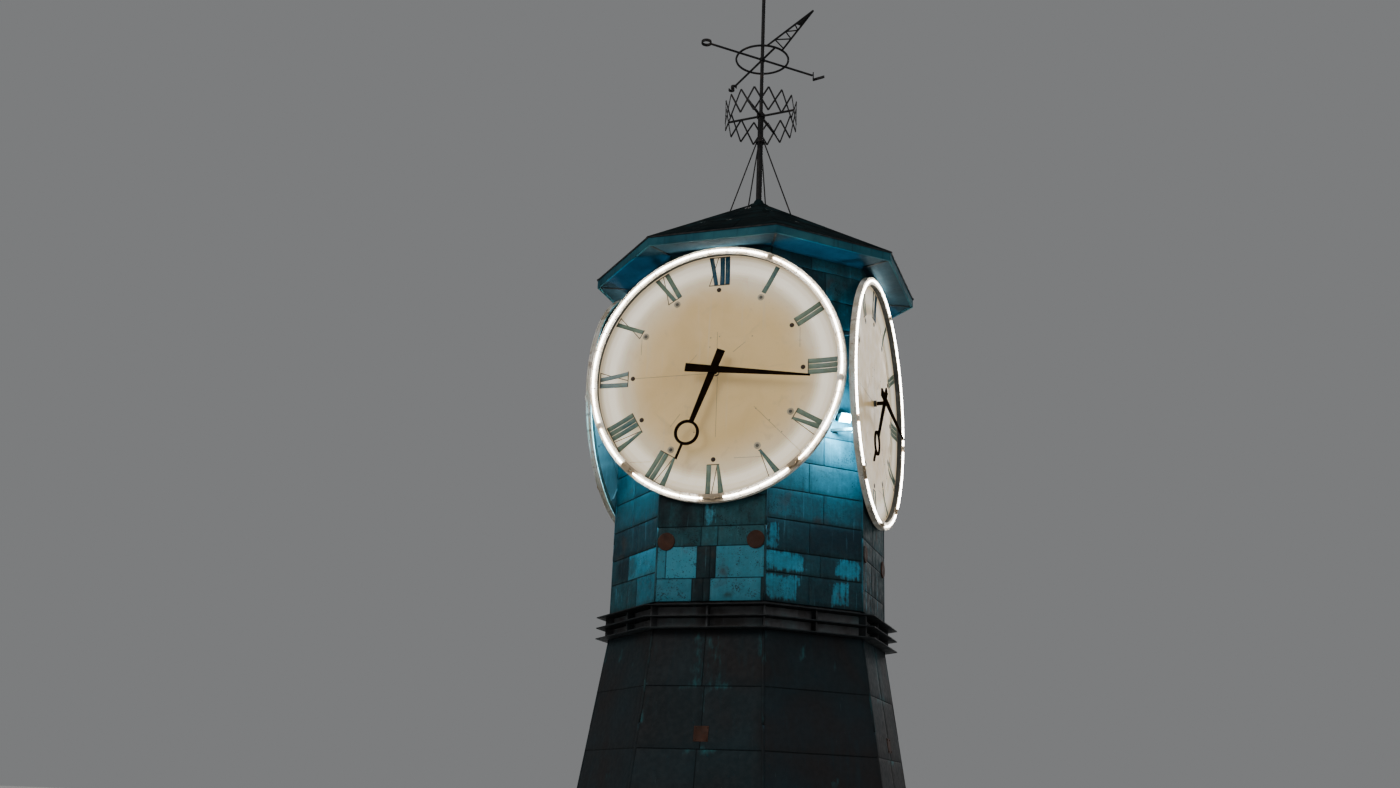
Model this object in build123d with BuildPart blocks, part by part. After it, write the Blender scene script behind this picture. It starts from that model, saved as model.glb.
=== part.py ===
# Octagonal clock tower, clad in patinated copper, with four lit dials and a mast.
# Millimetres, +Z up. The origin is on the tower's axis at ground level, and the
# front dial faces -Y, so the right dial faces +X.

import math
import os

from build123d import *

os.makedirs("parts", exist_ok=True)

# Plan of the tower
side_count = 8
face_turn = 360 / side_count
half_turn = face_turn / 2
face_angles = {
    "front": -90,
    "front_right": -45,
    "right": 0,
    "back_right": 45,
    "back": 90,
    "back_left": 135,
    "left": 180,
    "front_left": -135,
}
dial_angles = {"front": -90, "right": 0, "back": 90, "left": 180}
lamp_angles = {"front_right": -45, "back_right": 45, "back_left": 135, "front_left": -135}

# Heights above the ground
kerb_height = 150
shaft_top = 3879
drum_bottom = 4250
fascia_bottom = 9372
fascia_height = 123
roof_apex = 11050
mast_tip = 15400
dial_height = 7490

# Walls, by the distance from the axis to the middle of a face
shaft_top_apothem = 1878
shaft_lean = 0.1432
shaft_wall = 200
drum_apothem = 1878
drum_wall = 180
kerb_projection = 55

# Louvred cornice between the shaft and the drum
core_apothem = 1830
fin_count = 3
fin_tip_apothem = 2060
fin_pitch = 153
fin_lip = 12
fin_rise = 34
bracket_width = 26
bracket_reach = 112

# Eave and roof
eave_apothem = 2336
fascia_thickness = 28
soffit_setback = 20
soffit_thickness = 22
roof_overhang = 12
roof_edge = 20
roof_thickness = 60
roof_flat_apothem = 95
roof_inner_apothem = 60

# Roof cap at the foot of the mast
cap_radius = 172
cap_rim_height = 26
cap_shoulder_radius = 86
cap_shoulder_height = 72
cap_dome_height = 150

# Mast, its stays and its collar
seat_gap = 0.3
mast_radius = 47.5
mast_upper_radius = 30
mast_step_above_crown = 60
mast_step_length = 30
mast_tip_radius = 12
mast_tip_length = 160
stay_radius = 11
stay_foot_distance = 580
stay_top_distance = 62
collar_radius = 76
collar_height = 44
collar_level = 12150
foot_length = 120
foot_width = 80
foot_thickness = 10
rod_sides = 8

# Zigzag crown
crown_points = 16
crown_radius = 600
crown_bottom = 12421
crown_top = 12847
crown_turn = -6
crown_bar_width = 28
crown_bar_depth = 8
crown_cross_width = 44
crown_cross_depth = 16
crown_hub_radius = 70
crown_hub_height = 60

# Compass cross
compass_level = 13710
compass_ring_radius = 440
compass_bar_radius = 18
compass_arm_length = 985
compass_hub_radius = 46
compass_hub_height = 60
pointer_angle = -45
pointer_reach = 1650
pointer_spread = 19
pointer_brace_radius = 11
pointer_brace_stations = (480, 640, 790, 930, 1060, 1180)
pointer_blade_start = 1200
pointer_blade_thickness = 12

# Dials
dial_radius = 1900
rim_front = 2000
rim_depth = 80
rim_flange_inner = 1786
rim_flange_thickness = 8
rim_band_thickness = 14
rim_bead = 6
rim_bead_width = 16
pan_depth = 105
pan_sheet = 6
pan_flat_radius = 1440
pan_edge_radius = 1800
pan_rise = 24
bush_radius = 48
bush_length = 62

# Lamp tube round the rim
tube_ring_radius = 1846
tube_radius = 11
tube_stand_off = 0.3
tube_breaks = (25.5, 97, 140, 178.5, 222, 247)
tube_break_length = 70

# Electrode blocks that hold the ends of the tubes
block_width = 46
block_rise = 25
block_round = 6

# Frame behind each dial: a ring, ribs that follow the pan and struts to the walls
frame_inner_radius = 1325
frame_outer_radius = 1390
rib_count = 12
rib_thickness = 8
rib_knee_radius = 1600
rib_end_radius = 1770
rib_end_depth = 26
strut_width = 42
strut_offset = 1150
strut_rise = 720

# Hands, measured from their axis
minute_front = 2100
minute_thickness = 24
hour_front = 2064
hour_thickness = 24
minute_rest = 97.5
minute_reach = 1430
minute_tail = 405
minute_tail_width = 120
minute_tip_width = 24
hour_rests = {"front": 201.5, "right": 216.5, "back": 201.5, "left": 201.5}
hour_tail = 312
hour_tail_width = 120
hour_neck_width = 64
hour_ring_distance = 970
hour_ring_radius = 183
hour_ring_width = 40
hour_reach = 1373
hour_tip_width = 32
hour_pipe_radius = 30
minute_spindle_radius = 20
running_clearance = 0.1
spindle_inset = 8
hub_boss_radius = 58

# Small fittings on the walls
cap_disc_radius = 125
cap_disc_thickness = 22
cap_disc_bevel = 7
cap_disc_offset = 643
cap_disc_height = 5080
plate_size = 200
plate_thickness = 12
plate_offset = 25
plate_height = 2505
lamp_offset = 400
lamp_height = 6950
lamp_width = 190
lamp_arm = 34
lamp_back = 80
lamp_front = 188
lamp_top = 45
lamp_lip = 25
lamp_bottom = -58
lamp_toe = 112
lens_thickness = 8
lens_margin = 12

# Derived values
eave_top = fascia_bottom + fascia_height
roof_edge_apothem = eave_apothem + roof_overhang
roof_slope = (roof_apex - eave_top - roof_edge) / roof_edge_apothem
roof_taper = math.degrees(math.atan(1 / roof_slope))
roof_drop = roof_thickness * math.sqrt(1 + roof_slope**2)
fin_taper = math.degrees(math.atan((fin_tip_apothem - core_apothem) / fin_rise))
pan_front = rim_front - pan_depth
pan_back = pan_front - pan_sheet
crown_middle = (crown_bottom + crown_top) / 2


def save(part, name):
    part.label = name
    export_step(part, f"parts/{name}.step")


def outward(angle):
    return (math.cos(math.radians(angle)), math.sin(math.radians(angle)), 0)


def rightward(angle):
    return (-math.sin(math.radians(angle)), math.cos(math.radians(angle)), 0)


def around(angle, distance, offset=0, height=0):
    """A point at a distance in front of a face, offset to the right as seen from outside."""
    out, right = outward(angle), rightward(angle)
    return (out[0] * distance + right[0] * offset, out[1] * distance + right[1] * offset, height)


def radial_plane(angle, height=0):
    """Plane on the tower's axis: x runs outwards and y up."""
    right = rightward(angle)
    return Plane(origin=(0, 0, height), x_dir=outward(angle), z_dir=(-right[0], -right[1], 0))


def face_plane(angle, distance, offset=0, height=0):
    """Plane parallel to a face, seen from outside: x to the right, y up, normal outwards."""
    return Plane(
        origin=around(angle, distance, offset, height),
        x_dir=rightward(angle),
        z_dir=outward(angle),
    )


def spin_plane(angle):
    """Plane through a dial's axis: x is the radius and y the distance from the tower's axis."""
    return Plane(origin=(0, 0, dial_height), x_dir=(0, 0, 1), z_dir=rightward(angle))


def spin_axis(angle):
    return Axis((0, 0, dial_height), outward(angle))


def clock_direction(angle, clockwise):
    """The way a hand points on a dial, in degrees clockwise from twelve, seen from outside."""
    right = rightward(angle)
    across, upward = math.sin(math.radians(clockwise)), math.cos(math.radians(clockwise))
    return Vector(right[0] * across, right[1] * across, upward)


def hand_plane(angle, distance, clockwise):
    """Plane across a dial's axis, with y along a hand and the normal outwards."""
    return Plane(
        origin=around(angle, distance, 0, dial_height),
        x_dir=clock_direction(angle, clockwise + 90),
        z_dir=outward(angle),
    )


def octagon(apothem):
    RegularPolygon(apothem, side_count, major_radius=False, rotation=half_turn)


def shaft_apothem(height):
    return shaft_top_apothem + shaft_lean * (shaft_top - height)


def roof_surface(apothem):
    return roof_apex - roof_slope * apothem


def roof_pyramid(apothem, level, top_apothem, mode=Mode.ADD):
    """A pyramid with the roof's slope, cut off flat at a smaller octagon."""
    with BuildSketch(Plane.XY.offset(level)) as base:
        octagon(apothem)
    rise = (apothem - top_apothem) * roof_slope
    extrude(base.sketch, amount=rise, taper=roof_taper, mode=mode)


def mitred_wall(angle, profile):
    """One face of an octagonal ring, from its upright section, mitred at both corners."""
    reach = max(point[0] for point in profile)
    with BuildSketch(radial_plane(angle)) as section:
        Polygon(*profile, align=None)
    extrude(section.sketch, amount=reach, both=True)
    for side in (-1, 1):
        normal = rightward(angle + side * half_turn)
        mitre = Plane(origin=(0, 0, 0), z_dir=(side * normal[0], side * normal[1], 0))
        split(bisect_by=mitre, keep=Keep.BOTTOM)


def rod(start, end, radius):
    """A straight bar between two points, with a few flat sides."""
    run = Vector(*end) - Vector(*start)
    with BuildSketch(Plane(origin=start, z_dir=run)) as section:
        RegularPolygon(radius, rod_sides)
    extrude(section.sketch, amount=run.length)


def flat_bar(start, end, width, depth, facing):
    """A rectangular bar between two points, with its depth along the facing direction."""
    run = Vector(*end) - Vector(*start)
    across = run.cross(Vector(*facing))
    with BuildSketch(Plane(origin=start, x_dir=across, z_dir=run)) as section:
        Rectangle(width, depth)
    extrude(section.sketch, amount=run.length)


# Kerb that the walls stand on
kerb_apothem = shaft_apothem(kerb_height) + kerb_projection
with BuildPart() as base_kerb:
    with BuildSketch():
        octagon(kerb_apothem)
        RegularPolygon(
            shaft_apothem(kerb_height) - shaft_wall,
            side_count,
            major_radius=False,
            rotation=half_turn,
            mode=Mode.SUBTRACT,
        )
    extrude(amount=kerb_height)
save(base_kerb.part, "base_kerb")

# Leaning walls of the shaft
for name, angle in face_angles.items():
    with BuildPart() as shaft_side:
        mitred_wall(
            angle,
            (
                (shaft_apothem(kerb_height), kerb_height),
                (shaft_apothem(shaft_top), shaft_top),
                (shaft_apothem(shaft_top) - shaft_wall, shaft_top),
                (shaft_apothem(kerb_height) - shaft_wall, kerb_height),
            ),
        )
    save(shaft_side.part, f"shaft_wall_{name}")

# Upright walls of the drum, cut to the slope of the roof
drum_inner = drum_apothem - drum_wall
for name, angle in face_angles.items():
    with BuildPart() as drum_side:
        mitred_wall(
            angle,
            (
                (drum_inner, drum_bottom),
                (drum_apothem, drum_bottom),
                (drum_apothem, roof_surface(drum_apothem) - roof_drop),
                (drum_inner, roof_surface(drum_inner) - roof_drop),
            ),
        )
    save(drum_side.part, f"drum_wall_{name}")

# Recessed band behind the louvre blades
with BuildPart() as cornice_core:
    with BuildSketch(Plane.XY.offset(shaft_top)):
        octagon(core_apothem)
        RegularPolygon(
            drum_inner, side_count, major_radius=False, rotation=half_turn, mode=Mode.SUBTRACT
        )
    extrude(amount=drum_bottom - shaft_top)
save(cornice_core.part, "cornice_core")

# Louvre blades: a thin lip with a top that slopes up to the band
with BuildPart() as cornice_fins:
    for fin in range(fin_count):
        fin_bottom = shaft_top + fin * fin_pitch
        with BuildSketch(Plane.XY.offset(fin_bottom)):
            octagon(fin_tip_apothem)
        extrude(amount=fin_lip)
        with BuildSketch(Plane.XY.offset(fin_bottom + fin_lip)):
            octagon(fin_tip_apothem)
        extrude(amount=fin_rise, taper=fin_taper)
    with BuildSketch(Plane.XY.offset(shaft_top)):
        octagon(core_apothem)
    extrude(amount=drum_bottom - shaft_top, mode=Mode.SUBTRACT)
save(cornice_fins.part, "cornice_fins")

# Upright plates that hold the blades apart, at each corner and each mid-face
with BuildPart() as cornice_brackets:
    for step in range(2 * side_count):
        angle = step * half_turn
        at_corner = step % 2 == 1
        band = core_apothem / math.cos(math.radians(half_turn)) if at_corner else core_apothem
        for fin in range(fin_count - 1):
            level = shaft_top + fin * fin_pitch + fin_lip
            with BuildSketch(radial_plane(angle, level)):
                Polygon(
                    (band - bracket_reach / 2, 0),
                    (band + bracket_reach, 0),
                    (band + bracket_reach, fin_pitch - fin_lip),
                    (band - bracket_reach / 2, fin_pitch - fin_lip),
                    align=None,
                )
            extrude(amount=bracket_width / 2, both=True)
    add(cornice_core.part, mode=Mode.SUBTRACT)
    add(cornice_fins.part, mode=Mode.SUBTRACT)
save(cornice_brackets.part, "cornice_brackets")

# Fascia board under the roof's edge
fascia_inner = eave_apothem - fascia_thickness
with BuildPart() as eave_fascia:
    with BuildSketch(Plane.XY.offset(fascia_bottom)):
        octagon(eave_apothem)
        RegularPolygon(
            fascia_inner, side_count, major_radius=False, rotation=half_turn, mode=Mode.SUBTRACT
        )
    extrude(amount=fascia_height)
save(eave_fascia.part, "eave_fascia")

# Flat soffit from the fascia to the drum
with BuildPart() as eave_soffit:
    with BuildSketch(Plane.XY.offset(fascia_bottom + soffit_setback)):
        octagon(fascia_inner)
        RegularPolygon(
            drum_apothem, side_count, major_radius=False, rotation=half_turn, mode=Mode.SUBTRACT
        )
    extrude(amount=soffit_thickness)
save(eave_soffit.part, "eave_soffit")

# Low pyramid roof, a shell with a small flat top for the mast
with BuildPart() as roof_deck:
    with BuildSketch(Plane.XY.offset(eave_top)):
        octagon(roof_edge_apothem)
    extrude(amount=roof_edge)
    roof_pyramid(roof_edge_apothem, eave_top + roof_edge, roof_flat_apothem)
    attic_apothem = (roof_apex - roof_drop - eave_top) / roof_slope
    roof_pyramid(attic_apothem, eave_top, roof_inner_apothem, Mode.SUBTRACT)
save(roof_deck.part, "roof_deck")

# Round cap that sheds water off the foot of the mast
cap_base = roof_surface(cap_radius)
mast_foot = roof_surface(roof_flat_apothem)
with BuildPart() as roof_cap:
    with BuildSketch(Plane.XZ):
        with BuildLine():
            shoulder = (cap_shoulder_radius, cap_base + cap_shoulder_height)
            crest = (mast_radius + seat_gap, cap_base + cap_dome_height)
            Polyline(
                crest,
                (mast_radius + seat_gap, cap_base),
                (cap_radius, cap_base),
                (cap_radius, cap_base + cap_rim_height),
                shoulder,
            )
            TangentArc(shoulder, crest, tangent=(0, 1))
        make_face()
    revolve(axis=Axis.Z)
    roof_pyramid(roof_edge_apothem, eave_top + roof_edge, roof_flat_apothem, Mode.SUBTRACT)
save(roof_cap.part, "roof_cap")

# Mast: a thick tube up to the crown, a thin one above it and a tapered tip
mast_step = crown_middle + mast_step_above_crown
with BuildPart() as mast:
    with BuildSketch(Plane.XZ):
        Polygon(
            (0, mast_foot),
            (mast_radius, mast_foot),
            (mast_radius, mast_step),
            (mast_upper_radius, mast_step + mast_step_length),
            (mast_upper_radius, mast_tip - mast_tip_length),
            (mast_tip_radius, mast_tip),
            (0, mast_tip),
            align=None,
        )
    revolve(axis=Axis.Z)
save(mast.part, "mast")

# Four stays from a collar on the mast to foot plates on the roof
roof_tilt = math.degrees(math.atan(roof_slope))
with BuildPart() as mast_stays:
    with BuildSketch(Plane.XY.offset(collar_level - collar_height / 2)):
        Circle(collar_radius)
        Circle(mast_radius + seat_gap, mode=Mode.SUBTRACT)
    extrude(amount=collar_height)
    for angle in dial_angles.values():
        foot = around(angle, stay_foot_distance, 0, roof_surface(stay_foot_distance))
        rod(around(angle, stay_top_distance, 0, collar_level), foot, stay_radius)
        out = outward(angle)
        slope_plane = Plane(
            origin=foot, x_dir=rightward(angle), z_dir=(out[0] * roof_slope, out[1] * roof_slope, 1)
        )
        with BuildSketch(slope_plane):
            Rectangle(foot_width, foot_length)
        extrude(amount=foot_thickness)
    roof_pyramid(roof_edge_apothem, eave_top + roof_edge, roof_flat_apothem, Mode.SUBTRACT)
save(mast_stays.part, "mast_stays")

# Crown: two crossing zigzags of flat bar on a cylinder, held by a cross of bars
crown_step = 360 / crown_points
with BuildPart() as mast_crown:
    for point in range(crown_points):
        angle = -90 + crown_turn + crown_step * (point + 0.5)
        middle = outward(angle + crown_step / 2)
        for low, high in ((angle, angle + crown_step), (angle + crown_step, angle)):
            flat_bar(
                around(low, crown_radius, 0, crown_bottom),
                around(high, crown_radius, 0, crown_top),
                crown_bar_width,
                crown_bar_depth,
                middle,
            )
    for turn in (0, 90):
        cross_angle = -90 + crown_turn + turn
        cross_reach = crown_radius * math.cos(math.radians(crown_step / 2))
        flat_bar(
            around(cross_angle, -cross_reach, 0, crown_middle),
            around(cross_angle, cross_reach, 0, crown_middle),
            crown_cross_width,
            crown_cross_depth,
            (0, 0, 1),
        )
    with BuildSketch(Plane.XY.offset(crown_middle - crown_hub_height / 2)):
        Circle(crown_hub_radius)
    extrude(amount=crown_hub_height)
    with BuildSketch(Plane.XY.offset(crown_middle - crown_hub_height / 2)):
        Circle(mast_radius + seat_gap)
    extrude(amount=crown_hub_height, mode=Mode.SUBTRACT)
save(mast_crown.part, "mast_crown")

# Compass cross: a ring, three arms and a braced pointer
with BuildPart() as compass_cross:
    with BuildSketch(Plane.XZ):
        with Locations((compass_ring_radius, compass_level)):
            RegularPolygon(compass_bar_radius, rod_sides)
    revolve(axis=Axis.Z)
    for turn in (90, 180, 270):
        rod(
            (0, 0, compass_level),
            around(pointer_angle + turn, compass_arm_length, 0, compass_level),
            compass_bar_radius,
        )
    rod(
        (0, 0, compass_level),
        around(pointer_angle, compass_ring_radius, 0, compass_level),
        compass_bar_radius,
    )
    spread = math.radians(pointer_spread)
    base_reach = compass_ring_radius * math.cos(spread)
    base_width = compass_ring_radius * math.sin(spread)

    def pointer_edge(reach):
        """Half the pointer's width at a distance from the mast."""
        return base_width * (pointer_reach - reach) / (pointer_reach - base_reach)

    for side in (-1, 1):
        rod(
            around(pointer_angle, base_reach, side * base_width, compass_level),
            around(pointer_angle, pointer_reach, 0, compass_level),
            compass_bar_radius - 2,
        )
    zigzag = []
    for index, reach in enumerate(pointer_brace_stations):
        side = -1 if index % 2 else 1
        zigzag.append(around(pointer_angle, reach, side * pointer_edge(reach), compass_level))
    for start, end in zip(zigzag, zigzag[1:]):
        rod(start, end, pointer_brace_radius)
    blade_plane = Plane(
        origin=(0, 0, compass_level - pointer_blade_thickness / 2),
        x_dir=outward(pointer_angle),
        z_dir=(0, 0, 1),
    )
    with BuildSketch(blade_plane):
        Polygon(
            (pointer_blade_start, -pointer_edge(pointer_blade_start)),
            (pointer_reach, 0),
            (pointer_blade_start, pointer_edge(pointer_blade_start)),
            align=None,
        )
    extrude(amount=pointer_blade_thickness)
    with BuildSketch(Plane.XY.offset(compass_level - compass_hub_height / 2)):
        Circle(compass_hub_radius)
    extrude(amount=compass_hub_height)
    with BuildSketch(Plane.XY.offset(compass_level - compass_hub_height / 2)):
        Circle(mast_upper_radius + seat_gap)
    extrude(amount=compass_hub_height, mode=Mode.SUBTRACT)
save(compass_cross.part, "compass_cross")

# Dial pans: a flat middle, a gently dished outer zone and an upstand to the flange.
# The bush in the middle carries the hands and rests on the drum's wall.
flange_back = rim_front - rim_flange_thickness
curve_start = (pan_flat_radius, pan_front)
curve_end = (pan_edge_radius - pan_sheet, pan_front + pan_rise)
pan_arc_run = pan_edge_radius - pan_flat_radius
pan_arc_radius = (pan_arc_run**2 + pan_rise**2) / (2 * pan_rise)
for name, angle in dial_angles.items():
    with BuildPart() as dial_pan:
        with BuildSketch(spin_plane(angle)):
            with BuildLine():
                outer = TangentArc(curve_start, curve_end, tangent=(1, 0))
                Polyline(
                    outer @ 1,
                    (pan_edge_radius - pan_sheet, flange_back),
                    (pan_edge_radius, flange_back),
                    (pan_edge_radius, pan_back + pan_rise),
                )
                TangentArc(
                    (pan_flat_radius, pan_back),
                    (pan_edge_radius, pan_back + pan_rise),
                    tangent=(1, 0),
                )
                Polyline(
                    (pan_flat_radius, pan_back),
                    (bush_radius, pan_back),
                    (bush_radius, drum_apothem),
                    (hour_pipe_radius + running_clearance, drum_apothem),
                    (hour_pipe_radius + running_clearance, drum_apothem + bush_length),
                    (bush_radius, drum_apothem + bush_length),
                    (bush_radius, pan_front),
                    curve_start,
                )
            make_face()
        revolve(axis=spin_axis(angle))
    save(dial_pan.part, f"dial_pan_{name}")

# Rims: a front flange, a deep side band with two beads and the electrode blocks
band_inner = dial_radius - rim_bead - rim_band_thickness
band_outer = dial_radius - rim_bead
rim_back = rim_front - rim_depth
for name, angle in dial_angles.items():
    with BuildPart() as dial_rim:
        with BuildSketch(spin_plane(angle)):
            Polygon(
                (rim_flange_inner, rim_front - rim_flange_thickness),
                (rim_flange_inner, rim_front),
                (dial_radius, rim_front),
                (dial_radius, rim_front - rim_bead_width),
                (band_outer, rim_front - rim_bead_width),
                (band_outer, rim_back + rim_bead_width),
                (dial_radius, rim_back + rim_bead_width),
                (dial_radius, rim_back),
                (band_inner, rim_back),
                (band_inner, rim_front - rim_flange_thickness),
                align=None,
            )
        revolve(axis=spin_axis(angle))
        for clockwise in tube_breaks:
            block_place = Vector(*around(angle, flange_back, 0, dial_height))
            block_place += clock_direction(angle, clockwise) * tube_ring_radius
            block_plane = Plane(
                origin=block_place,
                x_dir=clock_direction(angle, clockwise + 90),
                z_dir=outward(angle),
            )
            with BuildSketch(block_plane):
                RectangleRounded(tube_break_length - 2 * seat_gap, block_width, block_round)
            extrude(amount=rim_flange_thickness + block_rise)
    save(dial_rim.part, f"dial_rim_{name}")

# Lamp tubes in lengths round each rim, with a break at each electrode block
tube_level = rim_front + tube_radius + tube_stand_off
break_turn = math.degrees(tube_break_length / tube_ring_radius)
with BuildPart() as neon_tubes:
    for angle in dial_angles.values():
        for index, start in enumerate(tube_breaks):
            end = tube_breaks[(index + 1) % len(tube_breaks)]
            sweep_turn = (end - start) % 360 - break_turn
            start_turn = start + break_turn / 2
            tube_start = Vector(*around(angle, tube_level, 0, dial_height))
            tube_start += clock_direction(angle, start_turn) * tube_ring_radius
            tube_plane = Plane(
                origin=tube_start,
                x_dir=outward(angle),
                z_dir=clock_direction(angle, start_turn + 90),
            )
            with BuildSketch(tube_plane):
                RegularPolygon(tube_radius, rod_sides)
            revolve(axis=spin_axis(angle), revolution_arc=-sweep_turn)
save(neon_tubes.part, "neon_tubes")

# Frame behind each dial, between the pan and the drum: a flat ring, the ribs that
# stiffen the pan's curved zone and the struts from the diagonal walls
frame_back = drum_apothem + seat_gap
rib_front = pan_back - seat_gap
rib_arc_radius = pan_arc_radius + seat_gap


def rib_curve(radius):
    """The front of a rib, just behind the curved zone of the pan."""
    run = radius - pan_flat_radius
    return rib_front + rib_arc_radius - math.sqrt(rib_arc_radius**2 - run**2)


with BuildPart() as dial_struts:
    for angle in dial_angles.values():
        with BuildSketch(face_plane(angle, frame_back, 0, dial_height)):
            Circle(frame_outer_radius)
            Circle(frame_inner_radius, mode=Mode.SUBTRACT)
        extrude(amount=rib_front - frame_back)
        for rib in range(rib_count):
            across = clock_direction(angle, 360 * rib / rib_count)
            rib_plane = Plane(
                origin=(0, 0, dial_height),
                x_dir=across,
                z_dir=across.cross(Vector(*outward(angle))),
            )
            with BuildSketch(rib_plane):
                with BuildLine():
                    flat_end = (pan_flat_radius, rib_front)
                    front_end = (rib_end_radius, rib_curve(rib_end_radius))
                    TangentArc(flat_end, front_end, tangent=(1, 0))
                    Polyline(
                        front_end,
                        (rib_end_radius, rib_curve(rib_end_radius) - rib_end_depth),
                        (rib_knee_radius, frame_back),
                        (frame_inner_radius, frame_back),
                        (frame_inner_radius, rib_front),
                        flat_end,
                    )
                make_face()
            extrude(amount=rib_thickness / 2, both=True)
        for side in (-1, 1):
            for level in (-1, 1):
                strut_plane = face_plane(
                    angle,
                    drum_apothem / 2,
                    side * strut_offset,
                    dial_height + level * strut_rise,
                )
                with BuildSketch(strut_plane):
                    Rectangle(strut_width, strut_width)
                extrude(amount=frame_back - drum_apothem / 2)
    with BuildSketch(Plane.XY.offset(drum_bottom)):
        octagon(drum_apothem)
    extrude(amount=fascia_bottom - drum_bottom, mode=Mode.SUBTRACT)
save(dial_struts.part, "dial_struts")

# Round caps on the main faces of the drum, under the dials
with BuildPart() as wall_caps:
    for angle in dial_angles.values():
        for side in (-1, 1):
            with BuildSketch(face_plane(angle, drum_apothem, side * cap_disc_offset, cap_disc_height)):
                Circle(cap_disc_radius)
            extrude(amount=cap_disc_thickness)
    cap_front = drum_apothem + cap_disc_thickness / 2
    front_edges = [
        edge
        for edge in wall_caps.edges().filter_by(GeomType.CIRCLE)
        if max(abs(edge.arc_center.X), abs(edge.arc_center.Y)) > cap_front
    ]
    chamfer(front_edges, length=cap_disc_bevel)
save(wall_caps.part, "wall_caps")

# Square plates on the main faces of the shaft, seated on the leaning wall
with BuildPart() as shaft_plates:
    lean_angle = math.atan(shaft_lean)
    for angle in dial_angles.values():
        out = outward(angle)
        seat = Plane(
            origin=around(angle, shaft_apothem(plate_height), plate_offset, plate_height),
            x_dir=rightward(angle),
            z_dir=(
                out[0] * math.cos(lean_angle),
                out[1] * math.cos(lean_angle),
                math.sin(lean_angle),
            ),
        )
        with BuildSketch(seat):
            Rectangle(plate_size, plate_size)
        extrude(amount=plate_thickness)
save(shaft_plates.part, "shaft_plates")

# Floodlights on the diagonal walls: an arm, a wedge housing and a sloping glass
lamp_outline = (
    (drum_apothem + lamp_back, lamp_top),
    (drum_apothem + lamp_front, lamp_top),
    (drum_apothem + lamp_front, lamp_lip),
    (drum_apothem + lamp_toe, lamp_bottom),
    (drum_apothem + lamp_back, lamp_bottom),
)
with BuildPart() as floodlights:
    for angle in lamp_angles.values():
        foot = around(angle, 0, lamp_offset, lamp_height)
        lamp_plane = Plane(origin=foot, x_dir=outward(angle), z_dir=radial_plane(angle).z_dir)
        with BuildSketch(lamp_plane):
            Polygon(*lamp_outline, align=None)
        extrude(amount=lamp_width / 2, both=True)
        with BuildSketch(face_plane(angle, drum_apothem, lamp_offset, lamp_height)):
            Rectangle(lamp_arm, lamp_arm)
        extrude(amount=lamp_back)
save(floodlights.part, "floodlights")

lens_run = Vector(lamp_front - lamp_toe, lamp_lip - lamp_bottom)
lens_out = Vector(lens_run.Y, -lens_run.X).normalized() * lens_thickness
lens_trim = lens_run.normalized() * lens_margin
with BuildPart() as floodlight_lenses:
    for angle in lamp_angles.values():
        foot = around(angle, 0, lamp_offset, lamp_height)
        lamp_plane = Plane(origin=foot, x_dir=outward(angle), z_dir=radial_plane(angle).z_dir)
        toe = Vector(drum_apothem + lamp_toe, lamp_bottom) + lens_trim
        lip = Vector(drum_apothem + lamp_front, lamp_lip) - lens_trim
        with BuildSketch(lamp_plane):
            Polygon(
                (toe.X, toe.Y),
                (lip.X, lip.Y),
                (lip.X + lens_out.X, lip.Y + lens_out.Y),
                (toe.X + lens_out.X, toe.Y + lens_out.Y),
                align=None,
            )
        extrude(amount=lamp_width / 2 - lens_margin, both=True)
save(floodlight_lenses.part, "floodlight_lenses")

# Minute hands: a tapered bar with a square tail, on a spindle
spindle_start = drum_apothem + spindle_inset
for name, angle in dial_angles.items():
    with BuildPart() as minute_hand:
        with BuildSketch(hand_plane(angle, minute_front - minute_thickness, minute_rest)):
            Polygon(
                (-minute_tail_width / 2, -minute_tail),
                (minute_tail_width / 2, -minute_tail),
                (minute_tip_width / 2, minute_reach),
                (-minute_tip_width / 2, minute_reach),
                align=None,
            )
        extrude(amount=minute_thickness)
        with BuildSketch(face_plane(angle, spindle_start, 0, dial_height)):
            Circle(minute_spindle_radius)
        extrude(amount=minute_front - spindle_start)
    save(minute_hand.part, f"minute_hand_{name}")

# Hour hands: a tapered bar with a square tail, a ring and a thin tip, on a pipe
for name, angle in dial_angles.items():
    with BuildPart() as hour_hand:
        with BuildSketch(hand_plane(angle, hour_front - hour_thickness, hour_rests[name])):
            neck = hour_ring_distance - hour_ring_radius + hour_ring_width / 2
            tip_start = hour_ring_distance + hour_ring_radius - hour_ring_width / 2
            Polygon(
                (-hour_tail_width / 2, -hour_tail),
                (hour_tail_width / 2, -hour_tail),
                (hour_neck_width / 2, neck),
                (-hour_neck_width / 2, neck),
                align=None,
            )
            Circle(hub_boss_radius)
            Polygon(
                (-hour_tip_width / 2, tip_start),
                (hour_tip_width / 2, tip_start),
                (hour_tip_width / 2, hour_reach),
                (-hour_tip_width / 2, hour_reach),
                align=None,
            )
            with Locations((0, hour_ring_distance)):
                Circle(hour_ring_radius)
                Circle(hour_ring_radius - hour_ring_width, mode=Mode.SUBTRACT)
        extrude(amount=hour_thickness)
        with BuildSketch(face_plane(angle, spindle_start, 0, dial_height)):
            Circle(hour_pipe_radius)
        extrude(amount=hour_front - hour_thickness - spindle_start)
        with BuildSketch(face_plane(angle, spindle_start, 0, dial_height)):
            Circle(minute_spindle_radius + running_clearance)
        extrude(amount=hour_front - spindle_start, mode=Mode.SUBTRACT)
    save(hour_hand.part, f"hour_hand_{name}")
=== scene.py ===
# Looks of the octagonal clock tower: every finish and fine piece, in metres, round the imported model
from math import atan, ceil, cos, degrees, hypot, pi, radians, sin, sqrt, tan

import bmesh
import bpy
from mathutils import Matrix, Vector, noise


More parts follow.
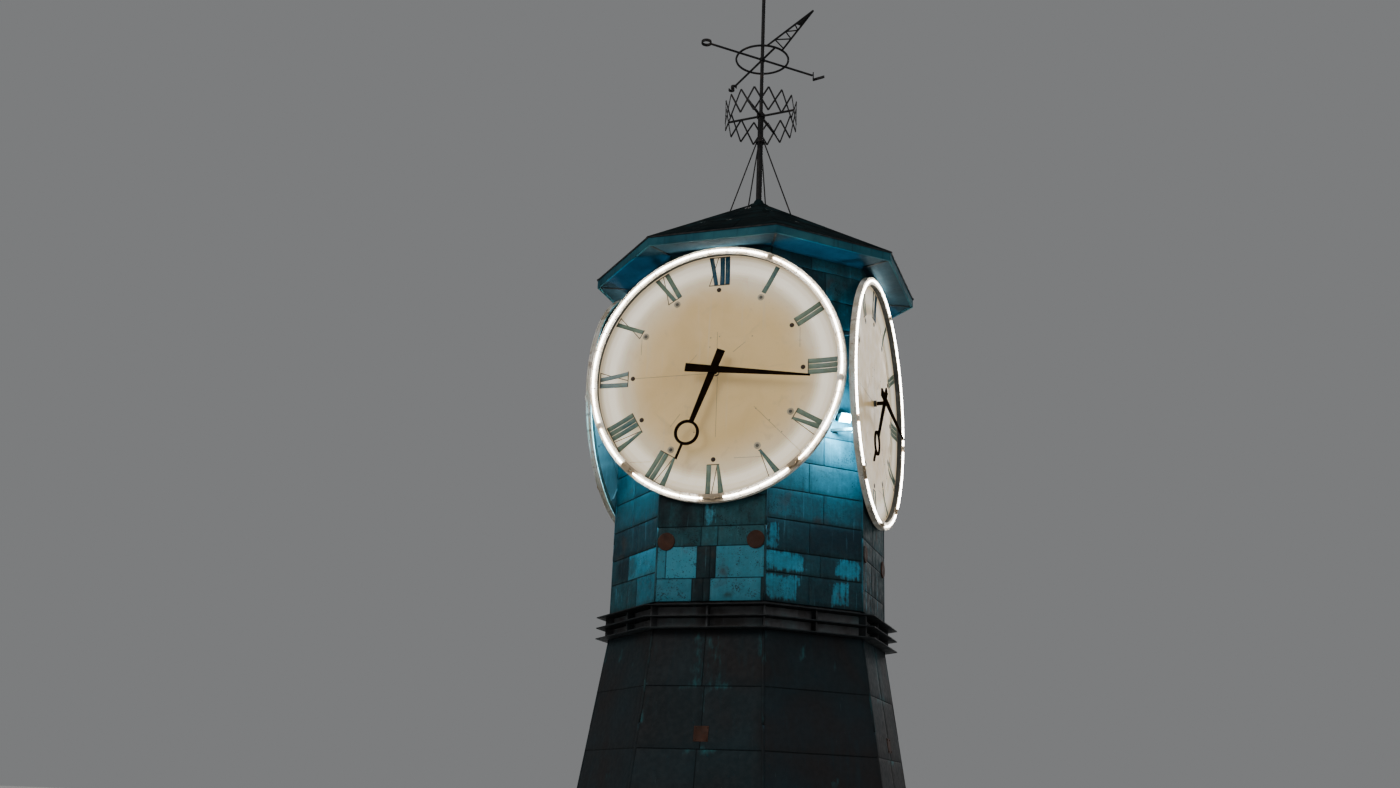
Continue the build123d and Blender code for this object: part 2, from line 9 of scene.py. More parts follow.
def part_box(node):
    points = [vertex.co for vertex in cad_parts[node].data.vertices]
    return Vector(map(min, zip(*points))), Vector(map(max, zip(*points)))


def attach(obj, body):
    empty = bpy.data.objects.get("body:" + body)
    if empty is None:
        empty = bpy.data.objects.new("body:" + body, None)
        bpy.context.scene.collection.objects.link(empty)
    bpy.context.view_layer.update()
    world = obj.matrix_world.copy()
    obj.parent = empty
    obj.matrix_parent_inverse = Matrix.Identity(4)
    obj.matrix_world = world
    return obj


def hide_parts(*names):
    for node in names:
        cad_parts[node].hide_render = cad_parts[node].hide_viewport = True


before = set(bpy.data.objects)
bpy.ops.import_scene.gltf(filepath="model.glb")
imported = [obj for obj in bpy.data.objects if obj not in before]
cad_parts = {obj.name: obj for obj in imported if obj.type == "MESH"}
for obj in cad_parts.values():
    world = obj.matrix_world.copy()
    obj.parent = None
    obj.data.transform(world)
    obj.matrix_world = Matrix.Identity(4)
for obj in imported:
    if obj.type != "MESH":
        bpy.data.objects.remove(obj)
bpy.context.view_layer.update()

faceAngles = {"front": -90, "front_right": -45, "right": 0, "back_right": 45,
              "back": 90, "back_left": 135, "left": 180, "front_left": -135}
dialAngles = {name: angle for name, angle in faceAngles.items() if "_" not in name}
lampAngles = {name: angle for name, angle in faceAngles.items() if "_" in name}
halfTurn = 22.5
sideShare = tan(radians(halfTurn))  # half the width of a face over its apothem
cornerShare = 1 / cos(radians(halfTurn))


def middleHeight(node):
    return sum(corner.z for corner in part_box(node)) / 2


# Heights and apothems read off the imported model
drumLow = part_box("drum_wall_front")[0]
shaftLow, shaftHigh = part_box("shaft_wall_front")
fasciaLow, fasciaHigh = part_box("eave_fascia")
rimLow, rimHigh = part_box("dial_rim_front")
kerbLow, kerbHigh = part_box("base_kerb")
drumApothem = -drumLow.y
drumBottom = drumLow.z
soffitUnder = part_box("eave_soffit")[0].z
shaftFoot, shaftHead = shaftLow.z, shaftHigh.z
shaftFootApothem = -shaftLow.y
shaftLean = (shaftFootApothem - drumApothem) / (shaftHead - shaftFoot)
fasciaApothem = -fasciaLow.y
roofEdge = 0.020
roofFoot, roofTop = fasciaHigh.z + roofEdge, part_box("roof_deck")[1].z
roofApothem, roofFlatApothem = -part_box("roof_deck")[0].y, 0.095
roofSlope = (roofTop - roofFoot) / (roofApothem - roofFlatApothem)
dialHeight = middleHeight("dial_rim_front")
dialRadius = (rimHigh.z - rimLow.z) / 2
# the tubes lie on the rims, whose own boxes reach out to the electrode blocks
lampTube = {"radius": 0.011, "standOff": 0.0003, "ring": 1.846}
rimFront = -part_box("neon_tubes")[0].y - 2 * lampTube["radius"] - lampTube["standOff"]
print("frame loaded:", len(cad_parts), "nodes, rims at", round(rimFront, 4), "m")


# Placing

def facePlace(angle, distance=0.0, height=0.0, lean=0.0, offset=0.0):
    # x runs to the right as seen from outside, y up the face and z outwards
    turn = radians(angle)
    outward = Vector((cos(turn), sin(turn), 0))
    right = Vector((-sin(turn), cos(turn), 0))
    tilt = atan(lean)
    upFace = Vector((0, 0, cos(tilt))) - outward * sin(tilt)
    normal = outward * cos(tilt) + Vector((0, 0, sin(tilt)))
    place = Matrix((right, upFace, normal)).transposed().to_4x4()
    place.translation = outward * distance + right * offset + Vector((0, 0, height))
    return place


def clockPoint(clockwise, radius, across=0.0):
    # a point of the dial plane, for a direction in degrees clockwise from twelve
    turn = radians(clockwise)
    return sin(turn) * radius + cos(turn) * across, cos(turn) * radius - sin(turn) * across


def mixed(first, second, share):
    return first + (second - first) * share


def ramped(value, low, high):
    share = min(1.0, max(0.0, (value - low) / (high - low)))
    return share * share * (3 - 2 * share)


def within(value, low, high, soft):
    # 1 between two limits and 0 outside them, faded over both
    return ramped(value, low - soft, low + soft) * (1 - ramped(value, high - soft, high + soft))


def scatter(*key):
    # an even-looking share from 0 to 1 that is the same on every run
    value = sin(sum(part * weight for part, weight in zip(key, (12.9898, 78.233, 37.719)))) * 43758.5453
    return value % 1


# Building blocks

def addPatch(bm, columns, rows, pointAt):
    # a grid of faces laid through the points that pointAt gives for each column and row
    made = bmesh.ops.create_grid(bm, x_segments=columns, y_segments=rows, size=0.5)["verts"]
    for vert in made:
        vert.co = pointAt(round((vert.co.x + 0.5) * columns), round((vert.co.y + 0.5) * rows))
    return made


def edgesOf(verts):
    return list({edge for vert in verts for edge in vert.link_edges})


def bevelEdges(bm, edges, width, segments=2):
    bmesh.ops.bevel(bm, geom=edges, offset=width, offset_type="OFFSET", segments=segments, profile=0.5,
                    affect="EDGES", material=-1)


def addDome(bm, place, radius, rise, sides=8, rings=6):
    shape = place @ Matrix.Diagonal((1, 1, rise / radius, 1))
    bmesh.ops.create_uvsphere(bm, u_segments=sides, v_segments=rings, radius=radius, matrix=shape)


def addDisc(bm, place, radius, rise, sides=24, chamfer=0.001):
    lifted = place @ Matrix.Translation((0, 0, rise / 2))
    made = bmesh.ops.create_cone(
        bm, cap_ends=True, segments=sides, radius1=radius, radius2=radius, depth=rise, matrix=lifted
    )["verts"]
    back = place.inverted()
    top = [edge for edge in edgesOf(made) if all((back @ vert.co).z > rise * 0.9 for vert in edge.verts)]
    bevelEdges(bm, top, chamfer)


def addBox(bm, place, size, bevel=0.001):
    made = bmesh.ops.create_cube(bm, size=1, matrix=place @ Matrix.Diagonal((*size, 1)))["verts"]
    bevelEdges(bm, edgesOf(made), bevel)


def addRing(bm, place, radius, profile, start=0.0, sweep=360.0, steps=64):
    # spins a closed profile of (radius offset, depth) points about the z axis of the place
    verts = [bm.verts.new(place @ Vector((radius + out, 0, depth))) for out, depth in profile]
    axis = place.to_3x3() @ Vector((0, 0, 1))
    centre = place.translation
    if start:
        bmesh.ops.rotate(bm, verts=verts, cent=centre, matrix=Matrix.Rotation(radians(start), 3, axis))
    full = sweep == 360
    if full:
        geom = verts + [bm.edges.new(pair) for pair in zip(verts, verts[1:] + verts[:1])]
    else:
        geom = [bm.faces.new(verts)]
    bmesh.ops.spin(bm, geom=geom, cent=centre, axis=axis, angle=radians(sweep), steps=steps, use_merge=full)


def makePiece(name, bm, finishes, slot, body="tower", shell=0.0, sharp=0.0, heal=False):
    if heal:
        bmesh.ops.remove_doubles(bm, verts=bm.verts, dist=1e-5)
        bmesh.ops.recalc_face_normals(bm, faces=bm.faces)
    for face in bm.faces:
        face.smooth = True
    if sharp:
        for edge in bm.edges:
            if len(edge.link_faces) == 2 and edge.calc_face_angle() > radians(sharp):
                edge.smooth = False
    mesh = bpy.data.meshes.new(name)
    bm.to_mesh(mesh)
    bm.free()
    for finish in finishes:
        mesh.materials.append(finish)
    piece = bpy.data.objects.new(name, mesh)
    bpy.context.scene.collection.objects.link(piece)
    if shell:
        wall = piece.modifiers.new("wall", "SOLIDIFY")
        wall.thickness = shell
        wall.offset = -1
    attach(piece, body)
    return piece


# Finishes

class Finish:
    # a Principled material with the few node patterns that the tower's finishes share

    def __init__(self, name, **settings):
        self.material = bpy.data.materials.new(name)
        self.material.use_nodes = True
        self.tree = self.material.node_tree
        self.shader = self.tree.nodes["Principled BSDF"]
        self.coords = self.node("TexCoord", {})["Object"]
        for socket, value in settings.items():
            self.feed(self.shader.inputs[socket.replace("_", " ")], value)

    def feed(self, socket, value):
        if isinstance(value, bpy.types.NodeSocket):
            self.tree.links.new(value, socket)
        else:
            socket.default_value = (*value, 1) if socket.type == "RGBA" else value

    def node(self, kind, inputs, **settings):
        made = self.tree.nodes.new("ShaderNode" + kind)
        for name, value in settings.items():
            setattr(made, name, value)
        for socket, value in inputs.items():
            self.feed(made.inputs[socket], value)
        return made.outputs

    def calc(self, operation, first, second=0.0):
        return self.node("Math", {0: first, 1: second}, operation=operation)[0]

    def times(self, first, second):
        return self.calc("MULTIPLY", first, second)

    def plus(self, value, part, weight=1.0, middle=0.0):
        # the value with a weighted part added, counted from the part's middle
        if middle:
            part = self.calc("SUBTRACT", part, middle)
        return self.calc("ADD", value, self.times(part, weight))

    def cloud(self, scale, detail=4, stretch=(1, 1, 1), warp=0.0, shift=0.0):
        setting = {"Vector": self.coords, "Scale": stretch, "Location": (shift, shift, shift)}
        moved = self.node("Mapping", setting)["Vector"]
        grain = {"Vector": moved, "Scale": scale, "Detail": detail, "Roughness": 0.5, "Distortion": warp}
        return self.node("TexNoise", grain)["Fac"]

    def spread(self, value, low, high, start=0.0, end=1.0):
        limits = {"From Min": low, "From Max": high, "To Min": start, "To Max": end}
        return self.node("MapRange", {"Value": value, **limits}, interpolation_type="SMOOTHSTEP")["Result"]

    def tint(self, share, first, second, way="MIX"):
        return self.node("Mix", {0: share, 6: first, 7: second}, data_type="RGBA", blend_type=way)[2]

    def worn(self, colour, shade, low, high, share, scale, detail=4, **grain):
        # another shade over the colour, up to a share of it, where a cloud is thick
        where = self.spread(self.cloud(scale, detail, **grain), low, high, 0.0, share)
        return self.tint(where, colour, shade)

    def matt(self, scale, detail, low, high):
        # a roughness that wanders between two values
        return self.spread(self.cloud(scale, detail), 0.3, 0.7, low, high)

    def ramp(self, value, *stops):
        node = self.tree.nodes.new("ShaderNodeValToRGB")
        elements = node.color_ramp.elements
        while len(elements) < len(stops):
            elements.new(0.5)
        for element, (place, colour) in zip(elements, stops):
            element.position = place
            element.color = (*colour, 1)
        self.feed(node.inputs[0], value)
        return node.outputs["Color"]

    def attribute(self, name):
        return self.node("Attribute", {}, attribute_name=name)["Fac"]

    def toned(self, colour, low, high):
        # every sheet has its own tone
        tone = self.spread(self.attribute("tone"), 0.0, 1.0, low, high)
        return self.tint(1.0, colour, self.tint(tone, (0, 0, 0), (1, 1, 1)), "MULTIPLY")

    def seamed(self, colour, share, shade):
        return self.tint(self.times(self.attribute("seam"), share), colour, shade)

    def close(self, colour, roughness, height=None, relief=0.001):
        self.feed(self.shader.inputs["Base Color"], colour)
        self.feed(self.shader.inputs["Roughness"], roughness)
        if height is not None:
            bump = self.node("Bump", {"Strength": 1.0, "Distance": relief, "Height": height})
            self.feed(self.shader.inputs["Normal"], bump["Normal"])
        return self.material


def scaled(colour, factor):
    return tuple(factor * part for part in colour)


def drumPatina():
    look = {
        "black": (0.007, 0.016, 0.020),
        "deep": (0.012, 0.038, 0.044),
        "teal": (0.020, 0.088, 0.104),
        "bright": (0.028, 0.160, 0.210),
        "light": (0.046, 0.245, 0.330),
        "dust": (0.120, 0.330, 0.400),
        "rust": (0.045, 0.026, 0.018),
    }
    finish = Finish("drumPatina", Metallic=0.05, Specular_IOR_Level=0.15)
    grain = finish.cloud(24, 6)
    ragged = finish.cloud(7, 7, stretch=(1, 1, 0.7), warp=0.8, shift=4)
    runs = finish.cloud(1.0, 6, stretch=(30, 30, 2.2))
    age = finish.attribute("patina")
    broad = finish.cloud(1.7, 5, warp=0.5)
    for part, weight in ((broad, 0.45), (grain, 0.30), (ragged, 0.30), (runs, 0.20)):
        age = finish.plus(age, part, weight, 0.5)
    colour = finish.ramp(age, (0.05, look["black"]), (0.26, look["deep"]), (0.52, look["teal"]),
                         (0.66, look["bright"]), (0.95, look["light"]))
    edge = 0.0
    for part, weight in ((ragged, 0.95), (runs, 1.25), (grain, 0.5)):
        edge = finish.plus(edge, part, weight, 0.5)
    bloom = finish.attribute("bloom")
    near = finish.times(finish.spread(bloom, 0.02, 0.22), finish.spread(bloom, 0.62, 0.80, 1, 0.35))
    bloom = finish.plus(bloom, edge, near)
    fresh = finish.ramp(age, (0.06, look["teal"]), (0.20, look["bright"]), (0.40, look["light"]))
    shown = finish.times(finish.spread(bloom, 0.34, 0.48), finish.spread(bloom, 0.46, 0.72, 0.55, 1.0))
    colour = finish.tint(shown, colour, fresh)
    colour = finish.worn(colour, look["dust"], 0.63, 0.76, 0.22, 1.0, 5, stretch=(23, 23, 1.6), shift=7)
    colour = finish.worn(colour, look["rust"], 0.60, 0.74, 0.60, 2.4, 7, warp=0.3, shift=3)
    clusters = finish.plus(finish.cloud(48), finish.cloud(4, 3, shift=8), 0.45)
    colour = finish.tint(finish.spread(clusters, 0.82, 0.92, 0.0, 0.75), colour, look["black"])
    colour = finish.seamed(finish.toned(colour, 0.74, 1.22), 0.88, look["black"])
    height = finish.plus(finish.cloud(60, 6), finish.cloud(9, 3), 1.5)
    return finish.close(colour, finish.matt(9, 4, 0.52, 0.74), height, 0.0022)


def shaftCopper():
    look = {
        "brown": (0.015, 0.012, 0.012),
        "grey": (0.010, 0.015, 0.018),
        "green": (0.008, 0.021, 0.026),
        "verdigris": (0.020, 0.140, 0.155),
        "pale": (0.055, 0.085, 0.090),
        "black": (0.006, 0.008, 0.009),
    }
    finish = Finish("shaftCopper", Metallic=0.1, Specular_IOR_Level=0.22)
    colour = finish.ramp(finish.cloud(0.7, warp=0.6), (0.34, look["brown"]), (0.50, look["grey"]),
                         (0.66, look["green"]))
    colour = finish.worn(colour, look["green"], 0.52, 0.72, 0.45, 1.0, 5, stretch=(14, 14, 0.7))
    colour = finish.worn(colour, look["pale"], 0.68, 0.78, 0.25, 1.0, stretch=(34, 34, 1.5), shift=5)
    patina = finish.plus(finish.attribute("patina"), finish.cloud(16, 6, stretch=(1, 1, 0.35)), 0.9, 0.5)
    colour = finish.tint(finish.spread(patina, 0.34, 1.0), colour, look["verdigris"])
    colour = finish.seamed(finish.toned(colour, 0.82, 1.16), 0.85, look["black"])
    return finish.close(colour, finish.matt(14, 5, 0.60, 0.72), finish.cloud(45, 6), 0.0012)


def darkCopper(name, dark, middle, light):
    finish = Finish(name, Metallic=0.1, Specular_IOR_Level=0.3)
    colour = finish.ramp(finish.cloud(3.5, 6, warp=0.6), (0.32, dark), (0.55, middle), (0.74, light))
    colour = finish.worn(colour, scaled(middle, 2.2), 0.62, 0.76, 0.4, 1.0, stretch=(18, 18, 1.2))
    return finish.close(colour, finish.matt(12, 4, 0.52, 0.76), finish.cloud(50, 5), 0.0012)


def eaveCopper(name, dark, middle, light):
    finish = Finish(name, Specular_IOR_Level=0.08)
    colour = finish.ramp(finish.cloud(1.5, 5, warp=0.5), (0.30, dark), (0.52, middle), (0.74, light))
    colour = finish.worn(colour, scaled(dark, 0.45), 0.58, 0.74, 0.5, 1.0, stretch=(20, 20, 1.0))
    colour = finish.worn(colour, (0.022, 0.042, 0.048), 0.64, 0.74, 0.5, 70, 3)
    return finish.close(colour, finish.matt(11, 4, 0.62, 0.82), finish.cloud(45, 5), 0.0012)


def roofCopper():
    look = {
        "dark": (0.007, 0.013, 0.015),
        "brown": (0.016, 0.021, 0.022),
        "green": (0.013, 0.032, 0.036),
        "grit": (0.034, 0.044, 0.045),
        "worn": (0.300, 0.330, 0.320),
        "black": (0.006, 0.007, 0.007),
    }
    finish = Finish("roofCopper", Specular_IOR_Level=0.0)
    colour = finish.ramp(finish.cloud(2.4, 7, warp=0.8), (0.32, look["dark"]), (0.52, look["brown"]),
                         (0.72, look["green"]))
    colour = finish.toned(finish.worn(colour, look["grit"], 0.60, 0.72, 0.5, 60, 3), 0.75, 1.25)
    # painted highlights along the lap edges of the seams, in a pale colour
    paintedHighlight = finish.plus(finish.attribute("patina"), finish.cloud(20), 1.0, 0.5)
    colour = finish.tint(finish.spread(paintedHighlight, 0.45, 0.75), colour, look["worn"])
    colour = finish.seamed(colour, 0.75, look["black"])
    return finish.close(colour, finish.matt(10, 4, 0.66, 0.84), finish.cloud(40, 6), 0.0020)


def paintedIron():
    finish = Finish("paintedIron", Metallic=0.1, Specular_IOR_Level=0.25)
    colour = finish.ramp(finish.cloud(9, 6), (0.35, (0.008, 0.008, 0.009)), (0.60, (0.017, 0.015, 0.015)),
                         (0.74, (0.050, 0.030, 0.022)))
    return finish.close(colour, finish.matt(30, 4, 0.52, 0.74), finish.cloud(120), 0.0006)


def backSteel():
    # grey paint on the backs of the dials and on the frames behind them
    finish = Finish("backSteel", Metallic=0.2)
    colour = finish.ramp(finish.cloud(2.0, 6, warp=0.5), (0.32, (0.018, 0.022, 0.023)),
                         (0.55, (0.034, 0.040, 0.041)), (0.75, (0.075, 0.083, 0.084)))
    colour = finish.worn(colour, (0.130, 0.132, 0.126), 0.57, 0.75, 0.5, 1.0, stretch=(16, 16, 0.8))
    return finish.close(colour, finish.matt(8, 4, 0.40, 0.60), finish.cloud(70), 0.0005)


def dialEnamel(name, glow, paintedGlowColour):
    look = {
        "tan": (0.540, 0.330, 0.095),
        "sand": (0.640, 0.425, 0.155),
        "cream": (0.760, 0.620, 0.390),
        "pale": (0.880, 0.820, 0.710),
        "edge": (0.600, 0.500, 0.360),
        "stain": (0.330, 0.215, 0.110),
        "speck": (0.170, 0.110, 0.065),
        "rain": (0.500, 0.430, 0.320),
    }
    # the enamel itself glows: painted light of the tubes
    finish = Finish(name, Specular_IOR_Level=0.35, Coat_Weight=0.12, Coat_Roughness=0.15,
                    Emission_Color=paintedGlowColour, Emission_Strength=glow)
    radius = finish.attribute("reach")
    ring = finish.plus(radius, finish.cloud(1.1, 5, warp=0.6), 0.5, 0.5)
    colour = finish.worn(look["tan"], look["sand"], 0.35, 0.65, 1.0, 0.9, 5, warp=0.6)
    # painted light of the tubes: the tan middle turns cream further out
    colour = finish.tint(finish.spread(ring, 0.95, 1.55), colour, look["cream"])
    # painted light: a pale ring where the tubes light the dish, paler on the upper half, which catches more
    # of the light than the lower half
    upward = finish.calc("SUBTRACT", finish.node("SeparateXYZ", {0: finish.coords})["Z"], dialHeight)
    share = finish.times(finish.spread(ring, 1.22, 1.66), finish.spread(upward, -1.5, 0.6, 0.35, 1.0))
    colour = finish.tint(share, colour, look["pale"])
    # darker and browner towards the rim
    colour = finish.tint(finish.spread(radius, 1.68, 1.77, 0.0, 0.6), colour, look["edge"])
    colour = finish.worn(colour, look["stain"], 0.58, 0.72, 0.28, 3.2, 7, warp=1.4, shift=2)
    colour = finish.worn(colour, look["rain"], 0.57, 0.73, 0.26, 1.0, stretch=(13, 13, 0.7), shift=9)
    colour = finish.worn(colour, look["speck"], 0.70, 0.76, 0.75, 80, 3)
    return finish.close(colour, finish.matt(7, 5, 0.34, 0.50), finish.cloud(28), 0.0006)


def rimMetal():
    # cream paint over bronze, worn through in brown runs, with painted shade, browner, where the tubes stop
    # and no tube lights the rim
    look = {"unlit": (0.330, 0.240, 0.140), "stops": ((180, 0.15), (139, 0.13)), "fade": 0.06}
    finish = Finish("rimMetal", Metallic=0.1)
    colour = finish.ramp(finish.cloud(3.0, 6, warp=0.8), (0.30, (0.500, 0.410, 0.290)),
                         (0.50, (0.740, 0.680, 0.580)), (0.70, (0.880, 0.850, 0.790)))
    colour = finish.worn(colour, (0.190, 0.115, 0.060), 0.56, 0.66, 0.6, 7.0, 6, warp=1.2, shift=4)
    colour = finish.worn(colour, (0.120, 0.080, 0.050), 0.62, 0.72, 0.6, 60)
    x, y, z = finish.node("SeparateXYZ", {0: finish.coords})
    # x times y over the rim's distance from the axis is the way sideways on every dial
    sideways = finish.calc("ABSOLUTE", finish.calc("DIVIDE", finish.times(x, y), rimFront))
    upward = finish.calc("SUBTRACT", z, dialHeight)
    depth = finish.calc("MAXIMUM", finish.calc("ABSOLUTE", x), finish.calc("ABSOLUTE", y))
    front = finish.spread(depth, rimFront - 0.012, rimFront - 0.004)
    # painted shade round the long breaks of the tubes, on the front of the rim
    for clockwise, reach in look["stops"]:
        right, up = clockPoint(clockwise, lampTube["ring"])
        across = finish.calc("SUBTRACT", sideways, right)
        above = finish.calc("SUBTRACT", upward, up)
        away = finish.calc("SQRT", finish.plus(finish.times(across, across), above, above))
        unlit = finish.spread(away, reach, reach + look["fade"], 0.9, 0.0)
        colour = finish.tint(finish.times(unlit, front), colour, look["unlit"])
    return finish.close(colour, finish.matt(14, 5, 0.36, 0.58), finish.cloud(90), 0.0005)


def numeralPaint():
    finish = Finish("numeralPaint", Specular_IOR_Level=0.3)
    shade = finish.plus(finish.attribute("shade"), finish.cloud(2.2, warp=0.5, shift=6), 0.5, 0.5)
    shade = finish.plus(shade, finish.cloud(14, 5), 0.3, 0.5)
    colour = finish.ramp(shade, (0.08, (0.003, 0.060, 0.110)), (0.30, (0.030, 0.120, 0.150)),
                         (0.52, (0.200, 0.270, 0.190)), (0.85, (0.290, 0.380, 0.390)))
    colour = finish.worn(colour, (0.260, 0.260, 0.180), 0.56, 0.72, 0.45, 16, 5, stretch=(1, 1, 0.4))
    return finish.close(colour, 0.5, finish.cloud(80), 0.0004)


def plainPaint(name, dark, light, rough=0.5, relief=0.0004, grain=40, metallic=0.0, shine=0.2):
    # an even paint with soft wear between two shades
    finish = Finish(name, Metallic=metallic, Specular_IOR_Level=shine)
    colour = finish.ramp(finish.cloud(5.0, 6, warp=0.5), (0.34, dark), (0.68, light))
    colour = finish.worn(colour, dark, 0.64, 0.74, 0.5, grain * 1.7, 3)
    return finish.close(colour, finish.matt(12, 4, rough - 0.08, rough + 0.10), finish.cloud(grain), relief)


def glowing(name, colour, strength):
    finish = Finish(name, Emission_Color=colour, Emission_Strength=strength)
    return finish.close(finish.ramp(finish.cloud(8, 2), (0.3, scaled(colour, 0.86)), (0.7, colour)), 0.2)


def concrete(name, dark, light):
    finish = Finish(name)
    colour = finish.ramp(finish.cloud(1.8, 7, warp=0.6), (0.32, dark), (0.70, light))
    pores = finish.spread(finish.cloud(55), 0.60, 0.72, 0.0, 0.55)
    colour = finish.tint(pores, colour, scaled(dark, 0.45))
    return finish.close(colour, 0.85, finish.plus(finish.cloud(30, 7), pores, -0.6), 0.003)


# painted glow of the dial pans, which are no lamps: the flat of a dial first, then the painted light of the
# tubes on its curved edge, from the flat outwards
dialGlow = {
    "strengths": (0.26, 0.34, 0.46, 0.60, 0.72),
    "flat": (1.0, 0.72, 0.37),
    "edge": (1.0, 0.89, 0.70),
}
dialFinishes = []
for step, strength in enumerate(dialGlow["strengths"]):
    share = step / (len(dialGlow["strengths"]) - 1)
    paintedGlowColour = tuple(mixed(low, high, share) for low, high in zip(dialGlow["flat"], dialGlow["edge"]))
    dialFinishes.append(dialEnamel(f"dialEnamelPaintedGlow_{step}", strength, paintedGlowColour))
drumFinish = drumPatina()
shaftFinish = shaftCopper()
roofFinish = roofCopper()
ironFinish = paintedIron()
backFinish = backSteel()
rimFinish = rimMetal()
numeralFinish = numeralPaint()
darkFinish = darkCopper("darkCopper", (0.006, 0.007, 0.008), (0.012, 0.014, 0.015), (0.020, 0.030, 0.032))
# lighter copies of the dark copper for the cornice core and its brackets: painted light in the shade between
# the blades
paintedLightBandFinish = darkCopper("bandCopperPaintedLight", (0.060, 0.055, 0.054), (0.105, 0.108, 0.112), (0.100, 0.150, 0.160))
paintedLightBracketFinish = darkCopper("bracketCopperPaintedLight", (0.026, 0.025, 0.025), (0.050, 0.052, 0.055),
                           (0.050, 0.074, 0.080))
eaveFinish = eaveCopper("eaveCopper", (0.010, 0.046, 0.064), (0.019, 0.092, 0.122), (0.034, 0.145, 0.175))
soffitFinish = eaveCopper("soffitCopper", (0.008, 0.025, 0.037), (0.013, 0.042, 0.062),
                          (0.020, 0.060, 0.086))
lineFinish = plainPaint("numeralLine", (0.060, 0.055, 0.036), (0.170, 0.135, 0.080))
seamFinish = plainPaint("dialSeam", (0.200, 0.150, 0.095), (0.330, 0.265, 0.180))
dotFinish = plainPaint("dotBrown", (0.028, 0.017, 0.010), (0.060, 0.036, 0.022))
dullDotFinish = plainPaint("dotGrey", (0.085, 0.080, 0.062), (0.170, 0.160, 0.125))
washerFinish = plainPaint("dotWasher", (0.420, 0.350, 0.240), (0.560, 0.480, 0.360))
handFinish = plainPaint("handPaint", (0.006, 0.0035, 0.0016), (0.016, 0.009, 0.004), 0.70, 0.0006, shine=0.0)
rustFinish = plainPaint("rustRedPaint", (0.028, 0.011, 0.006), (0.062, 0.024, 0.014), 0.66, 0.0014, 26)
housingFinish = plainPaint("lampHousing", (0.520, 0.540, 0.530), (0.760, 0.780, 0.770), 0.4)
endFinish = plainPaint("tubeEndPaint", (0.360, 0.260, 0.150), (0.540, 0.410, 0.260))
zincFinish = plainPaint("zincSteel", (0.300, 0.310, 0.310), (0.520, 0.530, 0.520), 0.45, 0.0003, 60, 0.4)
screwFinish = plainPaint("bronzeScrews", (0.110, 0.080, 0.050), (0.300, 0.240, 0.170), 0.55, 0.0003, 60, 0.2)
glassFinish = glowing("lampLight", (0.86, 0.96, 1.0), 30.0)
tubeFinish = glowing("tubeLight", (1.0, 0.96, 0.88), 26.0)
sleeveFinish = glowing("tubeSleeve", (1.0, 0.66, 0.38), 1.6)
kerbFinish = concrete("kerbConcrete", (0.190, 0.185, 0.172), (0.340, 0.330, 0.308))
print("finishes made")

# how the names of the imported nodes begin, and what those nodes are finished with
nodeFinishes = {
    "base_kerb": kerbFinish, "shaft_wall": darkFinish, "shaft_plates": rustFinish, "drum_wall": darkFinish,
    # the cornice core and brackets take the lighter copies, with painted light
    "cornice_core": paintedLightBandFinish, "cornice_fins": darkFinish, "cornice_brackets": paintedLightBracketFinish,
    "wall_caps": rustFinish, "floodlights": housingFinish, "floodlight_lenses": glassFinish,
    "dial_pan": dialFinishes[0], "dial_rim": rimFinish, "dial_struts": backFinish, "neon_tubes": tubeFinish,
    "minute_hand": handFinish, "hour_hand": handFinish, "eave_fascia": eaveFinish,
    "eave_soffit": soffitFinish, "roof_deck": darkFinish, "roof_cap": roofFinish, "mast": ironFinish,
    "compass_cross": ironFinish,
}
for node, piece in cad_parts.items():
    finish = next(finish for start, finish in nodeFinishes.items() if node.startswith(start))
    materials = piece.data.materials
    if not materials:
        materials.append(finish)
    for index in range(len(materials)):
        materials[index] = finish
print("finishes given to the packed nodes")


# Copper sheets of the walls and the roof

sheetForm = {
    "hem": 0.011,
    "lapFoot": 0.0055,
    "lapHead": 0.0016,
    "footShare": 0.55,  # of the lift, at the hem of the foot and at the other hems
    "edgeShare": 0.12,
    "bodyLift": 0.0009,
    "dent": {"rise": 0.0044, "scale": 3.1, "seed": 40},
    "patchEdge": {"rough": 0.05, "scale": 9, "seed": 10},
    "thickness": 0.0012,
    "layers": ("tone", "seam", "patina", "bloom"),
}


def hemmed(index, count, length):
    # the share along a sheet's side: the first and last cells are narrow hems
    if index in (0, count):
        return index / count
    return (sheetForm["hem"] + (length - 2 * sheetForm["hem"]) * (index - 1) / (count - 2)) / length


def addSheet(bm, place, foot, head, left, right, cell, tone, patina):
    # one sheet between two heights; left and right are the sides at its foot and head
    layers = [bm.verts.layers.float[name] for name in sheetForm["layers"]]
    wide = (right[0] - left[0] + right[1] - left[1]) / 2
    columns = max(4, round(wide / cell))
    rows = max(4, round((head - foot) / cell))
    dent = sheetForm["dent"]
    spots = []

    def pointAt(column, row):
        across = hemmed(column, columns, wide)
        up = hemmed(row, rows, head - foot)
        side = mixed(mixed(left[0], right[0], across), mixed(left[1], right[1], across), up)
        level = mixed(foot, head, up)
        lift = mixed(sheetForm["lapFoot"], sheetForm["lapHead"], up)
        edge = column in (0, columns) or row in (0, rows)
        if edge:
            lift *= sheetForm["footShare" if row == 0 else "edgeShare"]
        else:
            spot = Vector((side * dent["scale"], level * dent["scale"], tone * dent["seed"]))
            lift += dent["rise"] * noise.noise(spot) * sin(pi * across) * sin(pi * up) + sheetForm["bodyLift"]
        spots.append((edge, side, level))
        return place @ Vector((side, level, lift))

    for vert, (edge, side, level) in zip(addPatch(bm, columns, rows, pointAt), spots):
        for layer, value in zip(layers, (tone, 1.0 if edge else 0.0, *patina(side, level))):
            vert[layer] = value


def sheetMesh():
    bm = bmesh.new()
    for name in sheetForm["layers"]:
        bm.verts.layers.float.new(name)
    return bm


